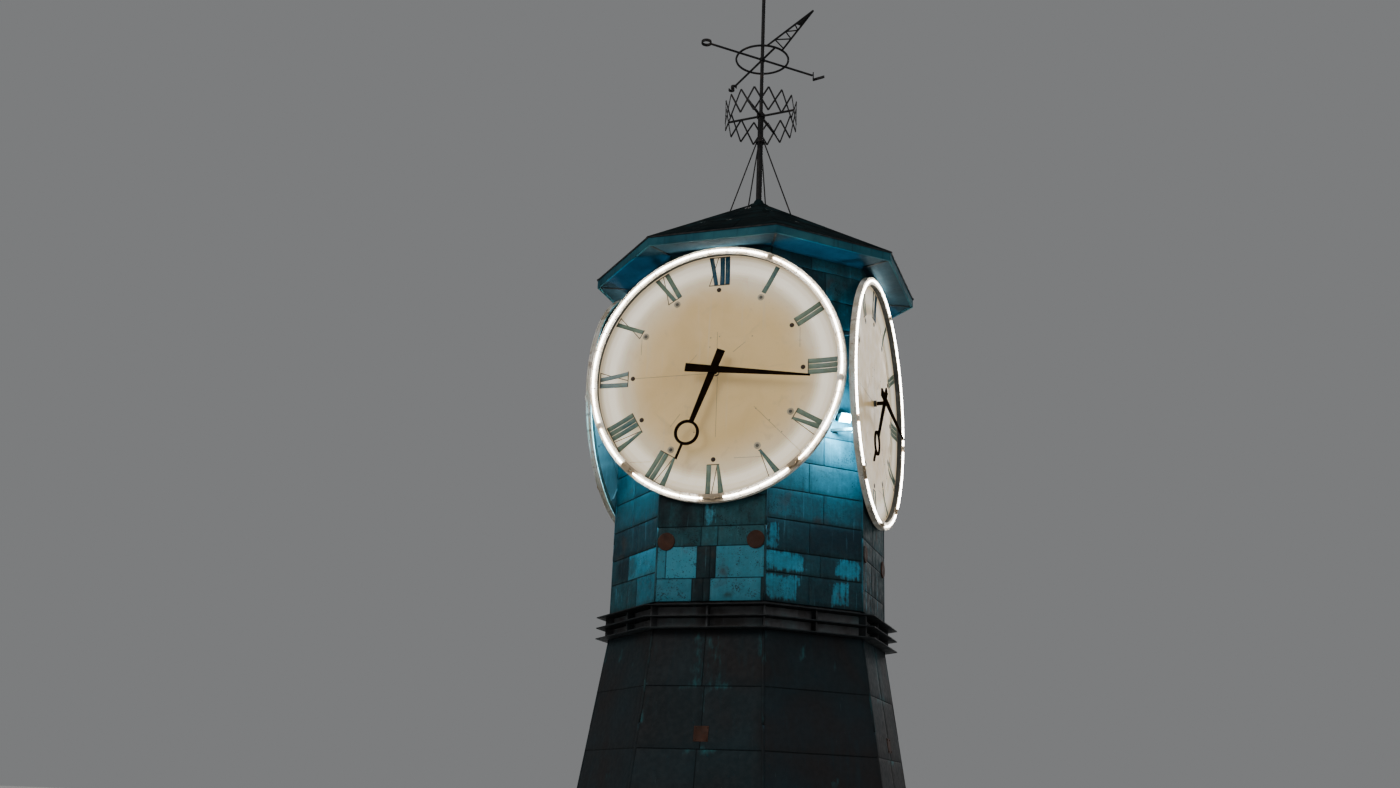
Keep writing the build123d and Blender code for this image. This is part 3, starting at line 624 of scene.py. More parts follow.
def patchPatina(patches, base, side, level, soft):
    # soft is how far a patch fades at its sides and at its foot and head; what is added is given apart too
    value, bloom = base, 0.0
    wide, tall = soft
    edge = sheetForm["patchEdge"]
    for low, high, bottom, top, strength in patches:
        spot = Vector((side * edge["scale"], level * edge["scale"], strength * edge["seed"]))
        rough = edge["rough"] * noise.noise(spot)
        inside = within(side + rough, low, high, wide) * within(level + rough, bottom, top, tall)
        value = value + strength * inside if strength < 0 else max(value, base + strength * inside)
        bloom = max(bloom, strength * inside)
    return value, bloom


def laySheets(name, finish, slot, sheets, placeOf, coursesOf):
    # coursesOf gives the courses of a face: foot, head, sides, and what makes the patina of each sheet
    for number, (face, angle) in enumerate(faceAngles.items()):
        bm = sheetMesh()
        for course, (foot, head, sides, patinaOf) in enumerate(coursesOf(number, face)):
            for part, (left, right) in enumerate(zip(sides, sides[1:])):
                tone = scatter(number + sheets["toneStart"], course, part)
                patina = patinaOf(part, tone)
                addSheet(bm, placeOf(angle), foot, head, left, right, sheets["cell"], tone, patina)
        makePiece(f"{name}_{face}", bm, [finish], slot, shell=sheetForm["thickness"])
    print(name, "laid")


mainCourses = {
    "levels": (0.0, 0.314, 0.756, 1.030),
    "joints": ((-0.25, -0.09, 0.01, 0.73), (-0.64, -0.19, 0.0, 0.08), (-0.14, 0.10), (-0.114,)),
}
# patches: left, right, foot and head in metres on the face, and how much brighter they are
drumSheets = {
    "cell": 0.05,
    "toneStart": 0,
    "rise": 0.42,
    "leastRise": 0.1,
    "regularJoints": (-0.11, 0.13),
    "plainPatina": 0.36,
    "patinaRange": 0.16,
    "soft": (0.09, 0.04),
    "layouts": {
        "front": {
            **mainCourses,
            "patina": ((0.86, 0.10, 0.14, 0.84, 0.22), (0.90, 0.96, 0.08, 0.12, 0.84),
                       (0.46, 0.50, 0.46), (0.36, 0.40)),
            # the wide dark band just under the dial, across the whole face, is painted shadow of the dial
            "patches": ((-0.12, 0.06, 1.04, 1.36, 0.55), (-0.74, 0.70, 1.40, 1.62, -0.40),
                        (-0.46, -0.30, 1.02, 1.42, -0.25), (-0.74, -0.66, 0.74, 1.40, -0.30),
                        (0.22, 0.30, 0.03, 0.12, -0.60)),
        },
        "front_right": {
            "levels": (0.0, 0.40, 0.70, 1.136),
            "joints": ((-0.09,), (0.086,), (-0.09,), (0.132,)),
            "patina": ((0.20, 0.16), (0.22, 0.18), (0.26, 0.20), (0.34, 0.30)),
            "patches": ((-0.80, -0.27, 0.03, 0.37, 0.75), (-0.80, -0.16, 0.42, 0.70, 0.75),
                        (0.24, 0.56, 0.03, 0.36, 0.62), (0.36, 0.76, 0.41, 0.69, 0.70),
                        (-0.84, -0.56, 0.72, 1.10, 0.62), (-0.10, 0.80, 0.74, 1.12, -0.14)),
        },
        "right": {
            **mainCourses,
            "patina": ((0.24, 0.16, 0.14, 0.22, 0.18), (0.20, 0.26, 0.12, 0.14, 0.22),
                       (0.28, 0.30, 0.24), (0.30, 0.34)),
            "patches": ((-0.64, -0.48, 0.04, 0.96, 0.52), (-0.30, -0.16, 0.06, 0.72, 0.48),
                        # the wide dark band across the top, just under the dial, is painted shadow of the
                        # dial
                        (0.18, 0.32, 0.10, 0.70, 0.50), (-0.74, 0.70, 1.40, 1.62, -0.20)),
        },
        "front_left": {
            "levels": (0.0, 0.41, 0.77, 1.19),
            "joints": ((0.143,), (-0.18,), (0.086,), (-0.125,)),
            "patina": ((0.42, 0.66), (0.30, 0.72), (0.18, 0.20), (0.44, 0.40)),
            "patches": ((-0.80, -0.30, 0.10, 0.40, 0.20), (-0.60, 0.10, 0.45, 0.75, -0.20)),
        },
    },
    # hidden faces repeat those that the photo shows
    "like": {"back": "front", "left": "right", "back_left": "front_right", "back_right": "front_left"},
}


def drumCourses(number, face):
    layout = drumSheets["layouts"][drumSheets["like"].get(face, face)]
    top = soffitUnder - drumBottom
    levels = list(layout["levels"])
    while levels[-1] + drumSheets["rise"] < top - drumSheets["leastRise"]:
        levels.append(levels[-1] + drumSheets["rise"])
    levels.append(top)
    for course, (foot, head) in enumerate(zip(levels, levels[1:])):
        regular = course >= len(layout["joints"])
        joints = (drumSheets["regularJoints"][course % 2],) if regular else layout["joints"][course]

        def patinaOf(part, tone):
            if regular:
                base = drumSheets["plainPatina"] + drumSheets["patinaRange"] * (tone - 0.5)
            else:
                base = layout["patina"][course][part]

            def patched(side, level):
                value, bloom = patchPatina(layout["patches"], base, side, level, drumSheets["soft"])
                return min(value, base), bloom

            return patched

        sides = (-drumApothem * sideShare, *joints, drumApothem * sideShare)
        yield foot, head, [(side, side) for side in sides], patinaOf


laySheets("drumSheets", drumFinish, "drum_copper", drumSheets,
          lambda angle: facePlace(angle, drumApothem, drumBottom), drumCourses)

shaftSheets = {
    "cell": 0.09,
    "toneStart": 20,
    "seams": (0.69, 1.50, 2.31, 3.12),
    "joint": 0.02,
    "plainPatina": 0.10,
    "patinaRange": 0.10,
    "soft": (0.045, 0.03),
    # streaks of verdigris: side and height limits at the wall, and strength
    "mainStreaks": ((-0.16, 0.30, 3.20, 3.84, 0.28), (-0.35, 0.45, 3.09, 3.15, 0.44),
                    (-0.18, 0.25, 2.26, 2.31, 0.70), (-0.93, -0.83, 2.55, 3.20, 0.75),
                    (0.76, 0.83, 3.45, 3.86, 0.70), (-0.10, 0.10, 2.60, 3.10, 0.25)),
    "diagonalStreaks": ((-0.24, -0.18, 3.50, 3.70, 0.60), (0.25, 0.30, 3.42, 3.66, 0.60),
                        (-0.82, -0.76, 3.40, 3.86, 0.55), (-0.17, -0.12, 1.95, 2.10, 0.60),
                        (0.12, 0.20, 1.30, 2.02, 0.45), (-0.92, -0.86, 2.55, 2.72, 0.50)),
}
shaftSlope = sqrt(1 + shaftLean**2)


def shaftCourses(number, face):
    main = face in dialAngles
    levels = (shaftFoot, *shaftSheets["seams"], shaftHead)

    def patinaOf(part, tone):
        streaks = shaftSheets["mainStreaks" if main else "diagonalStreaks"]
        base = shaftSheets["plainPatina"] + shaftSheets["patinaRange"] * tone

        def streaked(side, rise):
            return patchPatina(streaks, base, side, shaftFoot + rise / shaftSlope, shaftSheets["soft"])

        return streaked

    for course, (low, high) in enumerate(zip(levels, levels[1:])):
        halves = [(drumApothem + shaftLean * (shaftHead - level)) * sideShare for level in (low, high)]
        joint = shaftSheets["joint"] * (1 if course % 2 else -1)
        middle = [(joint, joint)] if main else []
        yield ((low - shaftFoot) * shaftSlope, (high - shaftFoot) * shaftSlope,
               [tuple(-half for half in halves), *middle, tuple(halves)], patinaOf)


laySheets("shaftSheets", shaftFinish, "shaft_copper", shaftSheets,
          lambda angle: facePlace(angle, shaftFootApothem, shaftFoot, shaftLean), shaftCourses)

roofSheets = {
    "cell": 0.10,
    "toneStart": 40,
    "courses": (0.34, 0.67),  # seams as shares of the slope
    "joints": ((-0.33, 0.33), (0.0,), ()),
    # how pale the painted highlights along the seams are
    "worn": 0.62,
    "highlightMarks": ((-0.44, -0.20), (0.10, 0.22), (-0.14, 0.06)),
    "markShift": 0.5,
    "markStep": 0.10,
    "markFade": (0.012, 0.05),
    "markEnds": 0.02,
}
slopeLength = (roofApothem - roofFlatApothem) * sqrt(1 + roofSlope**2)


def roofCourses(number, face):
    shares = (0.0, *roofSheets["courses"], 1.0)
    for low, high, joints in zip(shares, shares[1:], roofSheets["joints"]):
        halves = [mixed(roofApothem, roofFlatApothem, share) * sideShare for share in (low, high)]

        def paintedSeamHighlights(side, rise):
            # painted highlights along the lap edges of the seams
            value = 0.0
            for index, (begin, end) in enumerate(roofSheets["highlightMarks"]):
                shift = roofSheets["markShift"] * (scatter(number, index, low * 7) - 0.5)
                away = abs(rise - low * slopeLength - roofSheets["markStep"] * (index % 2))
                near = 1 - ramped(away, *roofSheets["markFade"])
                along = within(side, begin + shift, end + shift, roofSheets["markEnds"])
                value = max(value, roofSheets["worn"] * near * along)
            return (value if low else 0.0), 0.0

        sides = [tuple(side * half for half in halves) for side in (-1.0, *joints, 1.0)]
        yield low * slopeLength, high * slopeLength, sides, lambda part, tone: paintedSeamHighlights


laySheets("roofSheets", roofFinish, "roof_copper", roofSheets,
          lambda angle: facePlace(angle, roofApothem, roofFoot, 1 / roofSlope), roofCourses)


# Folded strips over the corners of the shaft, the drum and the roof

def cornerPoint(angle, apothem, height, reach, lift):
    # a point near the corner to the left of a face: reach is negative on the face before it
    side = angle if reach >= 0 else angle - 2 * halfTurn
    along = -apothem * sideShare + reach if reach >= 0 else apothem * sideShare + reach
    shift = lift * sideShare * (-1 if reach == 0 else 0)
    return facePlace(side, apothem + lift) @ Vector((along + shift, height, 0))


flashing = {"hem": 0.006, "lift": 0.0085, "edgeLift": 0.0015, "length": 1.26, "overlap": 0.020,
            "cell": 0.14, "thickness": 0.0012, "seam": 0.25, "rough": 0.25}


def addFlashing(bm, angle, width, patina, tone, apothems, heights):
    layers = [bm.verts.layers.float[name] for name in sheetForm["layers"][:3]]
    edge, ridge, flat = flashing["edgeLift"], flashing["lift"], width - flashing["hem"]
    chain = ((-width, edge), (-flat, ridge), (0, ridge), (flat, ridge), (width, edge))
    low, high = heights
    count = max(1, ceil((high - low) / flashing["length"]))
    for piece in range(count):
        start = mixed(low, high, piece / count)
        end = min(high, mixed(low, high, (piece + 1) / count) + flashing["overlap"])
        rows = max(2, round((end - start) / flashing["cell"]))

        def pointAt(column, row):
            height = mixed(start, end, row / rows)
            reach, lift = chain[column]
            lift += edge * (1 - row / rows)
            return cornerPoint(angle, mixed(*apothems, (height - low) / (high - low)), height, reach, lift)

        for vert in addPatch(bm, len(chain) - 1, rows, pointAt):
            rough = flashing["rough"] * noise.noise(vert.co * 3)
            values = (scatter(angle, piece, tone), flashing["seam"], patina + rough)
            for layer, value in zip(layers, values):
                vert[layer] = value


cornerStrips = {
    # finish, slot, half width, patina, tone, and the apothems and heights of the two ends
    "drumCorners": (drumFinish, "drum_copper", 0.018, 0.36, 1,
                    (drumApothem, drumApothem), (drumBottom, soffitUnder)),
    "shaftCorners": (shaftFinish, "shaft_copper", 0.022, 0.34, 2,
                     (shaftFootApothem, drumApothem), (shaftFoot, shaftHead)),
    "roofHips": (roofFinish, "roof_copper", 0.055, 0.10, 3,
                 (roofApothem, roofFlatApothem), (roofFoot, roofTop)),
}
for name, (finish, slot, *strip) in cornerStrips.items():
    bm = sheetMesh()
    for angle in faceAngles.values():
        addFlashing(bm, angle, *strip)
    makePiece(name, bm, [finish], slot, shell=flashing["thickness"])
print("corner strips folded")


# Eave: cover strips on the fascia, mitre battens and a cove under the soffit, laps on the louvre blades

eave = {
    "coverShares": (-0.86, -0.30, 0.55),
    "coverSize": (0.045, 0.003),
    "cornerSize": (0.044, 0.003),
    "cornerBevel": 0.0008,
    "coverShort": 0.004,
    "battenWidth": 0.034,
    "battenDepth": 0.010,
    "battenShort": 0.03,
    "battenBevel": 0.002,
    "coveRadius": 0.030,
    "coveCells": (8, 6),
    "coveThickness": 0.002,
}
bm = bmesh.new()
fasciaMiddle = middleHeight("eave_fascia")
coverTall = fasciaHigh.z - fasciaLow.z - eave["coverShort"]
for angle in faceAngles.values():
    width, thickness = eave["coverSize"]
    for share in eave["coverShares"]:
        offset = share * fasciaApothem * sideShare
        place = facePlace(angle, fasciaApothem + thickness / 2, fasciaMiddle, offset=offset)
        addBox(bm, place, (width, coverTall, thickness))
    width, thickness = eave["cornerSize"]
    corner = facePlace(angle + halfTurn, fasciaApothem * cornerShare, fasciaMiddle)
    for side in (-1, 1):
        place = corner @ Matrix.Rotation(side * radians(halfTurn), 4, "Y")
        place = place @ Matrix.Translation((side * width / 2, 0, thickness / 2))
        addBox(bm, place, (width, coverTall, thickness), eave["cornerBevel"])
makePiece("fasciaCovers", bm, [eaveFinish], "eave_copper", sharp=35)

bm = bmesh.new()
for angle in faceAngles.values():
    inner = drumApothem * cornerShare
    outer = (fasciaApothem - eave["battenShort"]) * cornerShare
    place = facePlace(angle + halfTurn, (inner + outer) / 2, soffitUnder - eave["battenDepth"] / 2)
    addBox(bm, place, (eave["battenWidth"], eave["battenDepth"], outer - inner), eave["battenBevel"])
makePiece("soffitBattens", bm, [darkFinish], "dark_copper", sharp=35)

bm = bmesh.new()
columns, rows = eave["coveCells"]
for angle in faceAngles.values():
    def covePoint(column, row):
        turn = radians(90 * row / rows)
        out = drumApothem + sheetForm["lapFoot"] + eave["coveRadius"] * (1 - cos(turn))
        level = soffitUnder - eave["coveRadius"] * (1 - sin(turn))
        return facePlace(angle, out) @ Vector((mixed(-out, out, column / columns) * sideShare, level, 0))

    addPatch(bm, columns, rows, covePoint)
cove = makePiece("soffitCove", bm, [soffitFinish], "eave_copper", shell=-eave["coveThickness"])
cove.modifiers["wall"].offset = 1

finLaps = {"shares": (-0.45, 0.45), "size": (0.05, 0.015, 0.064), "set": 0.030, "count": 3, "pitch": 0.153,
           "lip": 0.012}
bm = bmesh.new()
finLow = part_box("cornice_fins")[0]
finApothem = -finLow.y
for angle in faceAngles.values():
    for fin in range(finLaps["count"]):
        level = finLow.z + fin * finLaps["pitch"] + finLaps["lip"] / 2
        for share in finLaps["shares"]:
            offset = share * finApothem * sideShare
            addBox(bm, facePlace(angle, finApothem - finLaps["set"], level, offset=offset), finLaps["size"])
makePiece("finLaps", bm, [darkFinish], "dark_copper", sharp=35)
print("eave and cornice trimmed")


# Dials: smooth pans, numerals, dots and seams that follow the dish

dish = {
    "flatFront": rimFront - 0.105,
    "sheet": 0.006,
    "flatRadius": 1.440,
    "edgeRadius": 1.800,
    "rise": 0.024,
    "flangeBack": rimFront - 0.008,
    "bushRadius": 0.048,
    "bushFront": drumApothem + 0.062,
    "boreRadius": 0.0301,
    "turns": 180,
    "arcSteps": 10,
    "flatRings": 5,
    # which painted glow each ring of the curve takes, from the flat outwards
    "glowSteps": (0, 1, 2, 3, 4, 4, 4, 3, 3, 2, 1),
    "facing": 0.05,
}
dialPlaces = {dial: facePlace(angle, 0, dialHeight) for dial, angle in dialAngles.items()}
dishRun = dish["edgeRadius"] - dish["sheet"] - dish["flatRadius"]
dishArc = (dishRun**2 + dish["rise"]**2) / (2 * dish["rise"])


def dishDepth(radius):
    # distance of the dish's front from the tower's axis
    run = max(0.0, radius - dish["flatRadius"])
    return dish["flatFront"] + dishArc - sqrt(dishArc**2 - run**2)


def onDish(clockwise, radius, across=0.0, lift=0.0):
    x, y = clockPoint(clockwise, radius, across)
    return Vector((x, y, dishDepth(hypot(x, y)) + lift))


def dishProfile():
    # round the sheet: bush, flat, curve and turned-up edge in front, then back along the same line
    edge, sheet, flatFront = dish["edgeRadius"], dish["sheet"], dish["flatFront"]
    flat, rings = dish["flatRadius"], dish["flatRings"]
    radii = [dish["flatRadius"] + dishRun * step / dish["arcSteps"] for step in range(dish["arcSteps"] + 1)]
    return [
        (dish["bushRadius"], dish["bushFront"]),
        (dish["bushRadius"], flatFront),
        *((flat * (step + 1) / rings, flatFront) for step in range(rings)),
        *((radius, dishDepth(radius)) for radius in radii[1:]),
        (edge - sheet, dish["flangeBack"]),
        (edge, dish["flangeBack"]),
        (edge, dishDepth(edge) - sheet),
        *((radius, dishDepth(radius) - sheet) for radius in reversed(radii[:-1])),
        (dish["bushRadius"], flatFront - sheet),
        (dish["bushRadius"], drumApothem),
        (dish["boreRadius"], drumApothem),
        (dish["boreRadius"], dish["bushFront"]),
    ]


for dial, place in dialPlaces.items():
    bm = bmesh.new()
    reach = bm.verts.layers.float.new("reach")
    addRing(bm, place, 0.0, dishProfile(), steps=dish["turns"])
    bmesh.ops.recalc_face_normals(bm, faces=bm.faces)
    back = place.inverted()
    outward = place.to_3x3() @ Vector((0, 0, 1))
    for vert in bm.verts:
        vert[reach] = (back @ vert.co).xy.length
    for part in bm.faces:
        ring = (back @ part.calc_center_median()).xy.length - dish["flatRadius"]
        step = max(0, ceil(ring / dishRun * dish["arcSteps"]))
        part.material_index = len(dialFinishes)
        # front faces take the painted glow of their ring of the dish
        if part.normal.dot(outward) > dish["facing"]:
            part.material_index = dish["glowSteps"][min(step, dish["arcSteps"])]
    pan = makePiece(f"dialPan_{dial}", bm, [*dialFinishes, backFinish], "dial_enamel", sharp=35)
    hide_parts(f"dial_pan_{dial}")
print("dial pans spun")

numerals = {
    "inner": 1.344,
    "outer": 1.770,
    "line": 0.012,
    "lineSpare": 0.006,
    "lift": 0.0022,
    "liftStep": 0.0006,
    "sheet": 0.0020,
    "room": {"I": 0.0395, "V": 0.0885, "X": 0.0905},     # half of what a letter takes beside its neighbours
    "innerHalf": {"I": 0.0285, "V": 0.0200, "X": 0.0710},  # half its width at its inner end
    "outerReach": {"I": (0.0285, 0.0285), "V": (0.094, 0.077), "X": (0.066, 0.073)},
    "words": ("XII", "I", "II", "III", "IV", "V", "VI", "VII", "VIII", "IX", "X", "XI"),
    # hour by hour, dark to light paint
    "shades": (0.10, 0.44, 0.56, 0.60, 0.50, 0.46, 0.48, 0.50, 0.48, 0.78, 0.52, 0.50),
    "dotRadius": 1.270,
    "dotSize": (0.034, 0.004),
    "washerSize": (0.050, 0.003),
    "washerEdge": 0.0008,
    "dullShare": 0.72,
    "dullLift": 0.002,
    "dullDots": (1, 4, 5, 7, 10, 11),
}
# each stroke: its middle at the inner and at the outer end, its widths there, and whether it is thin
strokeForms = {
    "I": ((0.0, 0.0, 0.0705, 0.0720, False),),
    "V": ((-0.002, -0.066, 0.034, 0.086, False), (0.006, 0.072, 0.012, 0.012, True)),
    "X": ((0.040, -0.038, 0.062, 0.066, False), (-0.066, 0.068, 0.012, 0.012, True)),
}


def addStroke(bm, place, clockwise, inner, outer, near, far, widths, lift, rows=12, shade=0.0):
    def pointAt(column, row):
        radius = mixed(inner, outer, row / rows)
        across = mixed(near, far, row / rows) + (column / 2 - 0.5) * mixed(*widths, row / rows)
        return place @ onDish(clockwise, radius, across, lift)

    layer = bm.verts.layers.float.get("shade")
    for vert in addPatch(bm, 2, rows, pointAt):
        if layer:
            vert[layer] = shade


def addNumeral(strokes, lines, place, hour, word):
    middles = [0.0]
    for before, after in zip(word, word[1:]):
        middles.append(middles[-1] + numerals["room"][before] + numerals["room"][after])
    inner = (-numerals["innerHalf"][word[0]], middles[-1] + numerals["innerHalf"][word[-1]])
    outer = (-numerals["outerReach"][word[0]][0], middles[-1] + numerals["outerReach"][word[-1]][1])
    shift = -sum(inner) / 2
    for letter, middle in zip(word, middles):
        for near, far, nearWidth, farWidth, thin in strokeForms[letter]:
            lift = numerals["lift"] - (numerals["liftStep"] if thin else 0)
            addStroke(lines if thin else strokes, place, hour * 30, numerals["inner"], numerals["outer"],
                      shift + middle + near, shift + middle + far, (nearWidth, farWidth), lift,
                      shade=numerals["shades"][hour])
    for level, ends in ((numerals["inner"], inner), (numerals["outer"], outer)) if hour != 1 else ():
        centre = shift + sum(ends) / 2
        width = ends[1] - ends[0] + numerals["lineSpare"]
        addStroke(lines, place, hour * 30, level - numerals["line"] / 2, level + numerals["line"] / 2,
                  centre, centre, (width, width), numerals["lift"] + numerals["liftStep"], 1)


for dial, place in dialPlaces.items():
    strokes, lines, dots, dullDots, washers = (bmesh.new() for _ in range(5))
    strokes.verts.layers.float.new("shade")
    for hour, word in enumerate(numerals["words"]):
        addNumeral(strokes, lines, place, hour, word)
        spot = place @ Matrix.Translation(onDish(hour * 30, numerals["dotRadius"]))
        size, rise = numerals["dotSize"]
        if hour in numerals["dullDots"]:
            addDisc(washers, spot, *numerals["washerSize"], chamfer=numerals["washerEdge"])
            raised = spot @ Matrix.Translation((0, 0, numerals["dullLift"]))
            addDisc(dullDots, raised, size * numerals["dullShare"], rise)
        else:
            addDisc(dots, spot, size, rise)
    makePiece(f"numerals_{dial}", strokes, [numeralFinish], "hand_paint", shell=numerals["sheet"])
    makePiece(f"numeralLines_{dial}", lines, [lineFinish], "hand_paint", shell=numerals["sheet"])
    makePiece(f"minuteDots_{dial}", dots, [dotFinish], "hand_paint", sharp=35)
    makePiece(f"dullDots_{dial}", dullDots, [dullDotFinish], "hand_paint", sharp=35)
    makePiece(f"dotWashers_{dial}", washers, [washerFinish], "dial_enamel", sharp=35)
print("numerals and dots fixed")

dialSeams = {
    "width": 0.0045,
    "lift": 0.0006,
    "sheet": 0.0005,
    "segments": 24,
    # ends in metres right of and above the dial's centre
    "runs": (((-1.23, 0.0), (-0.05, 0.0)), ((0.0, 0.06), (0.0, 0.62)), ((0.02, -0.06), (0.02, -0.95)),
             ((0.57, -0.53), (1.27, -1.23)), ((-1.16, 0.62), (-1.16, 0.36)), ((1.22, 0.60), (1.22, 0.30)),
             ((0.30, -1.26), (0.78, -1.26)), ((-1.24, -1.26), (-0.92, -1.26)),
             ((-0.66, -0.76), (-0.52, -0.58)), ((-0.48, 0.10), (-0.30, 0.30)), ((0.24, 0.30), (0.42, 0.44))),
}
for dial, place in dialPlaces.items():
    bm = bmesh.new()
    for start, end in dialSeams["runs"]:
        begin, finishPoint = Vector(start), Vector(end)
        along = (finishPoint - begin).normalized()

        def seamPoint(column, row):
            point = begin.lerp(finishPoint, row / dialSeams["segments"])
            point += Vector((along.y, -along.x)) * (column - 0.5) * dialSeams["width"]
            return place @ Vector((*point, dishDepth(point.length) + dialSeams["lift"]))

        addPatch(bm, 1, dialSeams["segments"], seamPoint)
    makePiece(f"dialSeams_{dial}", bm, [seamFinish], "dial_enamel", shell=dialSeams["sheet"])

# Small studs through the middle of each dial
studs = {
    "size": (0.009, 0.004),
    "spots": ((0.03, 0.55), (-0.10, 0.54), (0.52, 0.52), (-0.11, 0.40), (0.60, -0.56), (0.80, -0.74),
              (0.98, -0.92), (-0.30, -0.86)),
}
bm = bmesh.new()
for place in dialPlaces.values():
    for x, y in studs["spots"]:
        spot = place @ Matrix.Translation((x, y, dishDepth(hypot(x, y))))
        addDome(bm, spot, *studs["size"])
makePiece("dialStuds", bm, [seamFinish], "dial_enamel")

# Rims: screws on the side band, covers at the band's joints, clips over the tubes and sleeves at their ends
rimParts = {
    "bandRadius": dialRadius - 0.006,
    "bandDepth": rimFront - 0.040,
    "screwCount": 48,
    "screwSize": (0.0055, 0.003),
    "screwShift": 0.016,
    "coverAngles": (15, 105, 195, 285),
    "coverSize": (0.05, 0.048, 0.0024),
    "coverBevel": 0.0008,
    "clipCount": 40,
    "clipWidth": 0.010,
    "clipReach": 0.027,
    "clipSheet": 0.0009,
    "clipSeat": 0.0010,
    "clipCrease": 0.002,
    "breaks": (25.5, 97, 140, 178.5, 222, 247),
    "breakLength": 0.070,
    "sleeveRadius": 0.0116,
    # how long each break's sleeves are, and whether they glow with the tube
    "sleeves": ((0.018, True), (0.018, True), (0.060, False), (0.115, False), (0.085, False), (0.018, True)),
}


def bandPlace(place, clockwise, radius, depth):
    # z points out of the side band of a rim
    x, y = clockPoint(clockwise, radius)
    radial = Vector((x, y, 0)).normalized()
    spot = Matrix((Vector((radial.y, -radial.x, 0)), Vector((0, 0, -1)), radial)).transposed().to_4x4()
    spot.translation = Vector((x, y, depth))
    return place @ spot


def roundPoint(turn, radius, depth=0.0):
    # out from the ring of a tube and forward from the rim, for an angle in degrees round it
    return cos(radians(turn)) * radius, depth + sin(radians(turn)) * radius


screws, covers, clips, sleeves, tubeEnds = (bmesh.new() for _ in range(5))
tubeDepth = rimFront + lampTube["standOff"] + lampTube["radius"]
sleeveProfile = [roundPoint(30 * step, rimParts["sleeveRadius"], tubeDepth) for step in range(12)]
hold = lampTube["radius"] + rimParts["clipSheet"]
feet = [(reach, rimParts["clipSeat"]) for reach in (hold + rimParts["clipCrease"], rimParts["clipReach"])]
clipChain = [(-reach, depth) for reach, depth in reversed(feet)]
clipChain += [roundPoint(180 - 22.5 * step, hold, lampTube["radius"]) for step in range(9)]
clipChain += feet
for place in dialPlaces.values():
    for index in range(rimParts["screwCount"]):
        clockwise = 360 * (index + 0.5) / rimParts["screwCount"]
        depth = rimParts["bandDepth"] + rimParts["screwShift"] * (1 if index % 2 else -1)
        addDome(screws, bandPlace(place, clockwise, rimParts["bandRadius"], depth), *rimParts["screwSize"])
    for clockwise in rimParts["coverAngles"]:
        radius = rimParts["bandRadius"] + rimParts["coverSize"][2] / 2
        spot = bandPlace(place, clockwise, radius, rimParts["bandDepth"])
        addBox(covers, spot, rimParts["coverSize"], rimParts["coverBevel"])
    for clockwise, (length, lit) in zip(rimParts["breaks"], rimParts["sleeves"]):
        gap = degrees(rimParts["breakLength"] / 2 / lampTube["ring"])
        sweep = degrees(length / lampTube["ring"])
        for start in (90 - clockwise + gap, 90 - clockwise - gap - sweep):
            addRing(sleeves if lit else tubeEnds, place, lampTube["ring"], sleeveProfile, start, sweep, 6)
    for index in range(rimParts["clipCount"]):
        clockwise = 360 * (index + 0.5) / rimParts["clipCount"]
        if min(abs((clockwise - stop + 180) % 360 - 180) for stop in rimParts["breaks"]) < 3:
            continue

        def clipPoint(column, row):
            out, depth = clipChain[row]
            x, y = clockPoint(clockwise, lampTube["ring"] + out, (column - 0.5) * rimParts["clipWidth"])
            return place @ Vector((x, y, rimFront + depth))

        addPatch(clips, 1, len(clipChain) - 1, clipPoint)
makePiece("rimScrews", screws, [screwFinish], "rim_bronze")
makePiece("rimCovers", covers, [rimFinish], "rim_bronze", sharp=35)
makePiece("tubeClips", clips, [screwFinish], "rim_bronze", shell=-rimParts["clipSheet"])
makePiece("tubeSleeves", sleeves, [sleeveFinish], "tube_light", sharp=50, heal=True)
makePiece("tubeEnds", tubeEnds, [endFinish], "rim_bronze", sharp=50, heal=True)
print("rims fitted")

# Domed nuts where the hands sit on their spindles
hubNut = {"collar": (0.030, 0.005), "nut": (0.0186, 0.009)}
handFront = -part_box("minute_hand_front")[0].y
for dial, angle in dialAngles.items():
    place = facePlace(angle, handFront, dialHeight)
    bm = bmesh.new()
    addDisc(bm, place, *hubNut["collar"])
    addDisc(bm, place @ Matrix.Translation((0, 0, hubNut["collar"][1])), *hubNut["nut"], 6)
    makePiece(f"hubNut_{dial}", bm, [handFinish], "hand_paint", f"minute_{dial}", sharp=35)


def addBolts(bm, seat, reachX, reachY, lift, size):
    # four hexagon heads round a seat
    for x in (-reachX, reachX):
        for y in (-reachY, reachY):
            addDisc(bm, seat @ Matrix.Translation((x, y, lift)), *size, 6)


# Screws of the round caps and bolts of the square plates
fixings = {
    "capRing": 0.095,
    "capCount": 6,
    "capOffset": 0.643,
    "capScrew": (0.007, 0.004),
    "plateOffset": 0.025,
    "plateReach": (0.078, 0.078),
    "plateThickness": 0.012,
    "plateBolt": (0.011, 0.007),
}
bm = bmesh.new()
capHeight, capFront = middleHeight("wall_caps"), -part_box("wall_caps")[0].y
plateHeight = middleHeight("shaft_plates")
plateApothem = shaftFootApothem - shaftLean * (plateHeight - shaftFoot)
for angle in dialAngles.values():
    for side in (-1, 1):
        cap = facePlace(angle, capFront, capHeight, offset=side * fixings["capOffset"])
        for index in range(fixings["capCount"]):
            x, y = roundPoint(360 * index / fixings["capCount"], fixings["capRing"])
            addDome(bm, cap @ Matrix.Translation((x, y, 0)), *fixings["capScrew"])
    seat = facePlace(angle, plateApothem, plateHeight, shaftLean, fixings["plateOffset"])
    addBolts(bm, seat, *fixings["plateReach"], fixings["plateThickness"], fixings["plateBolt"])
makePiece("wallFixings", bm, [rustFinish], "rust_red_paint", sharp=35)

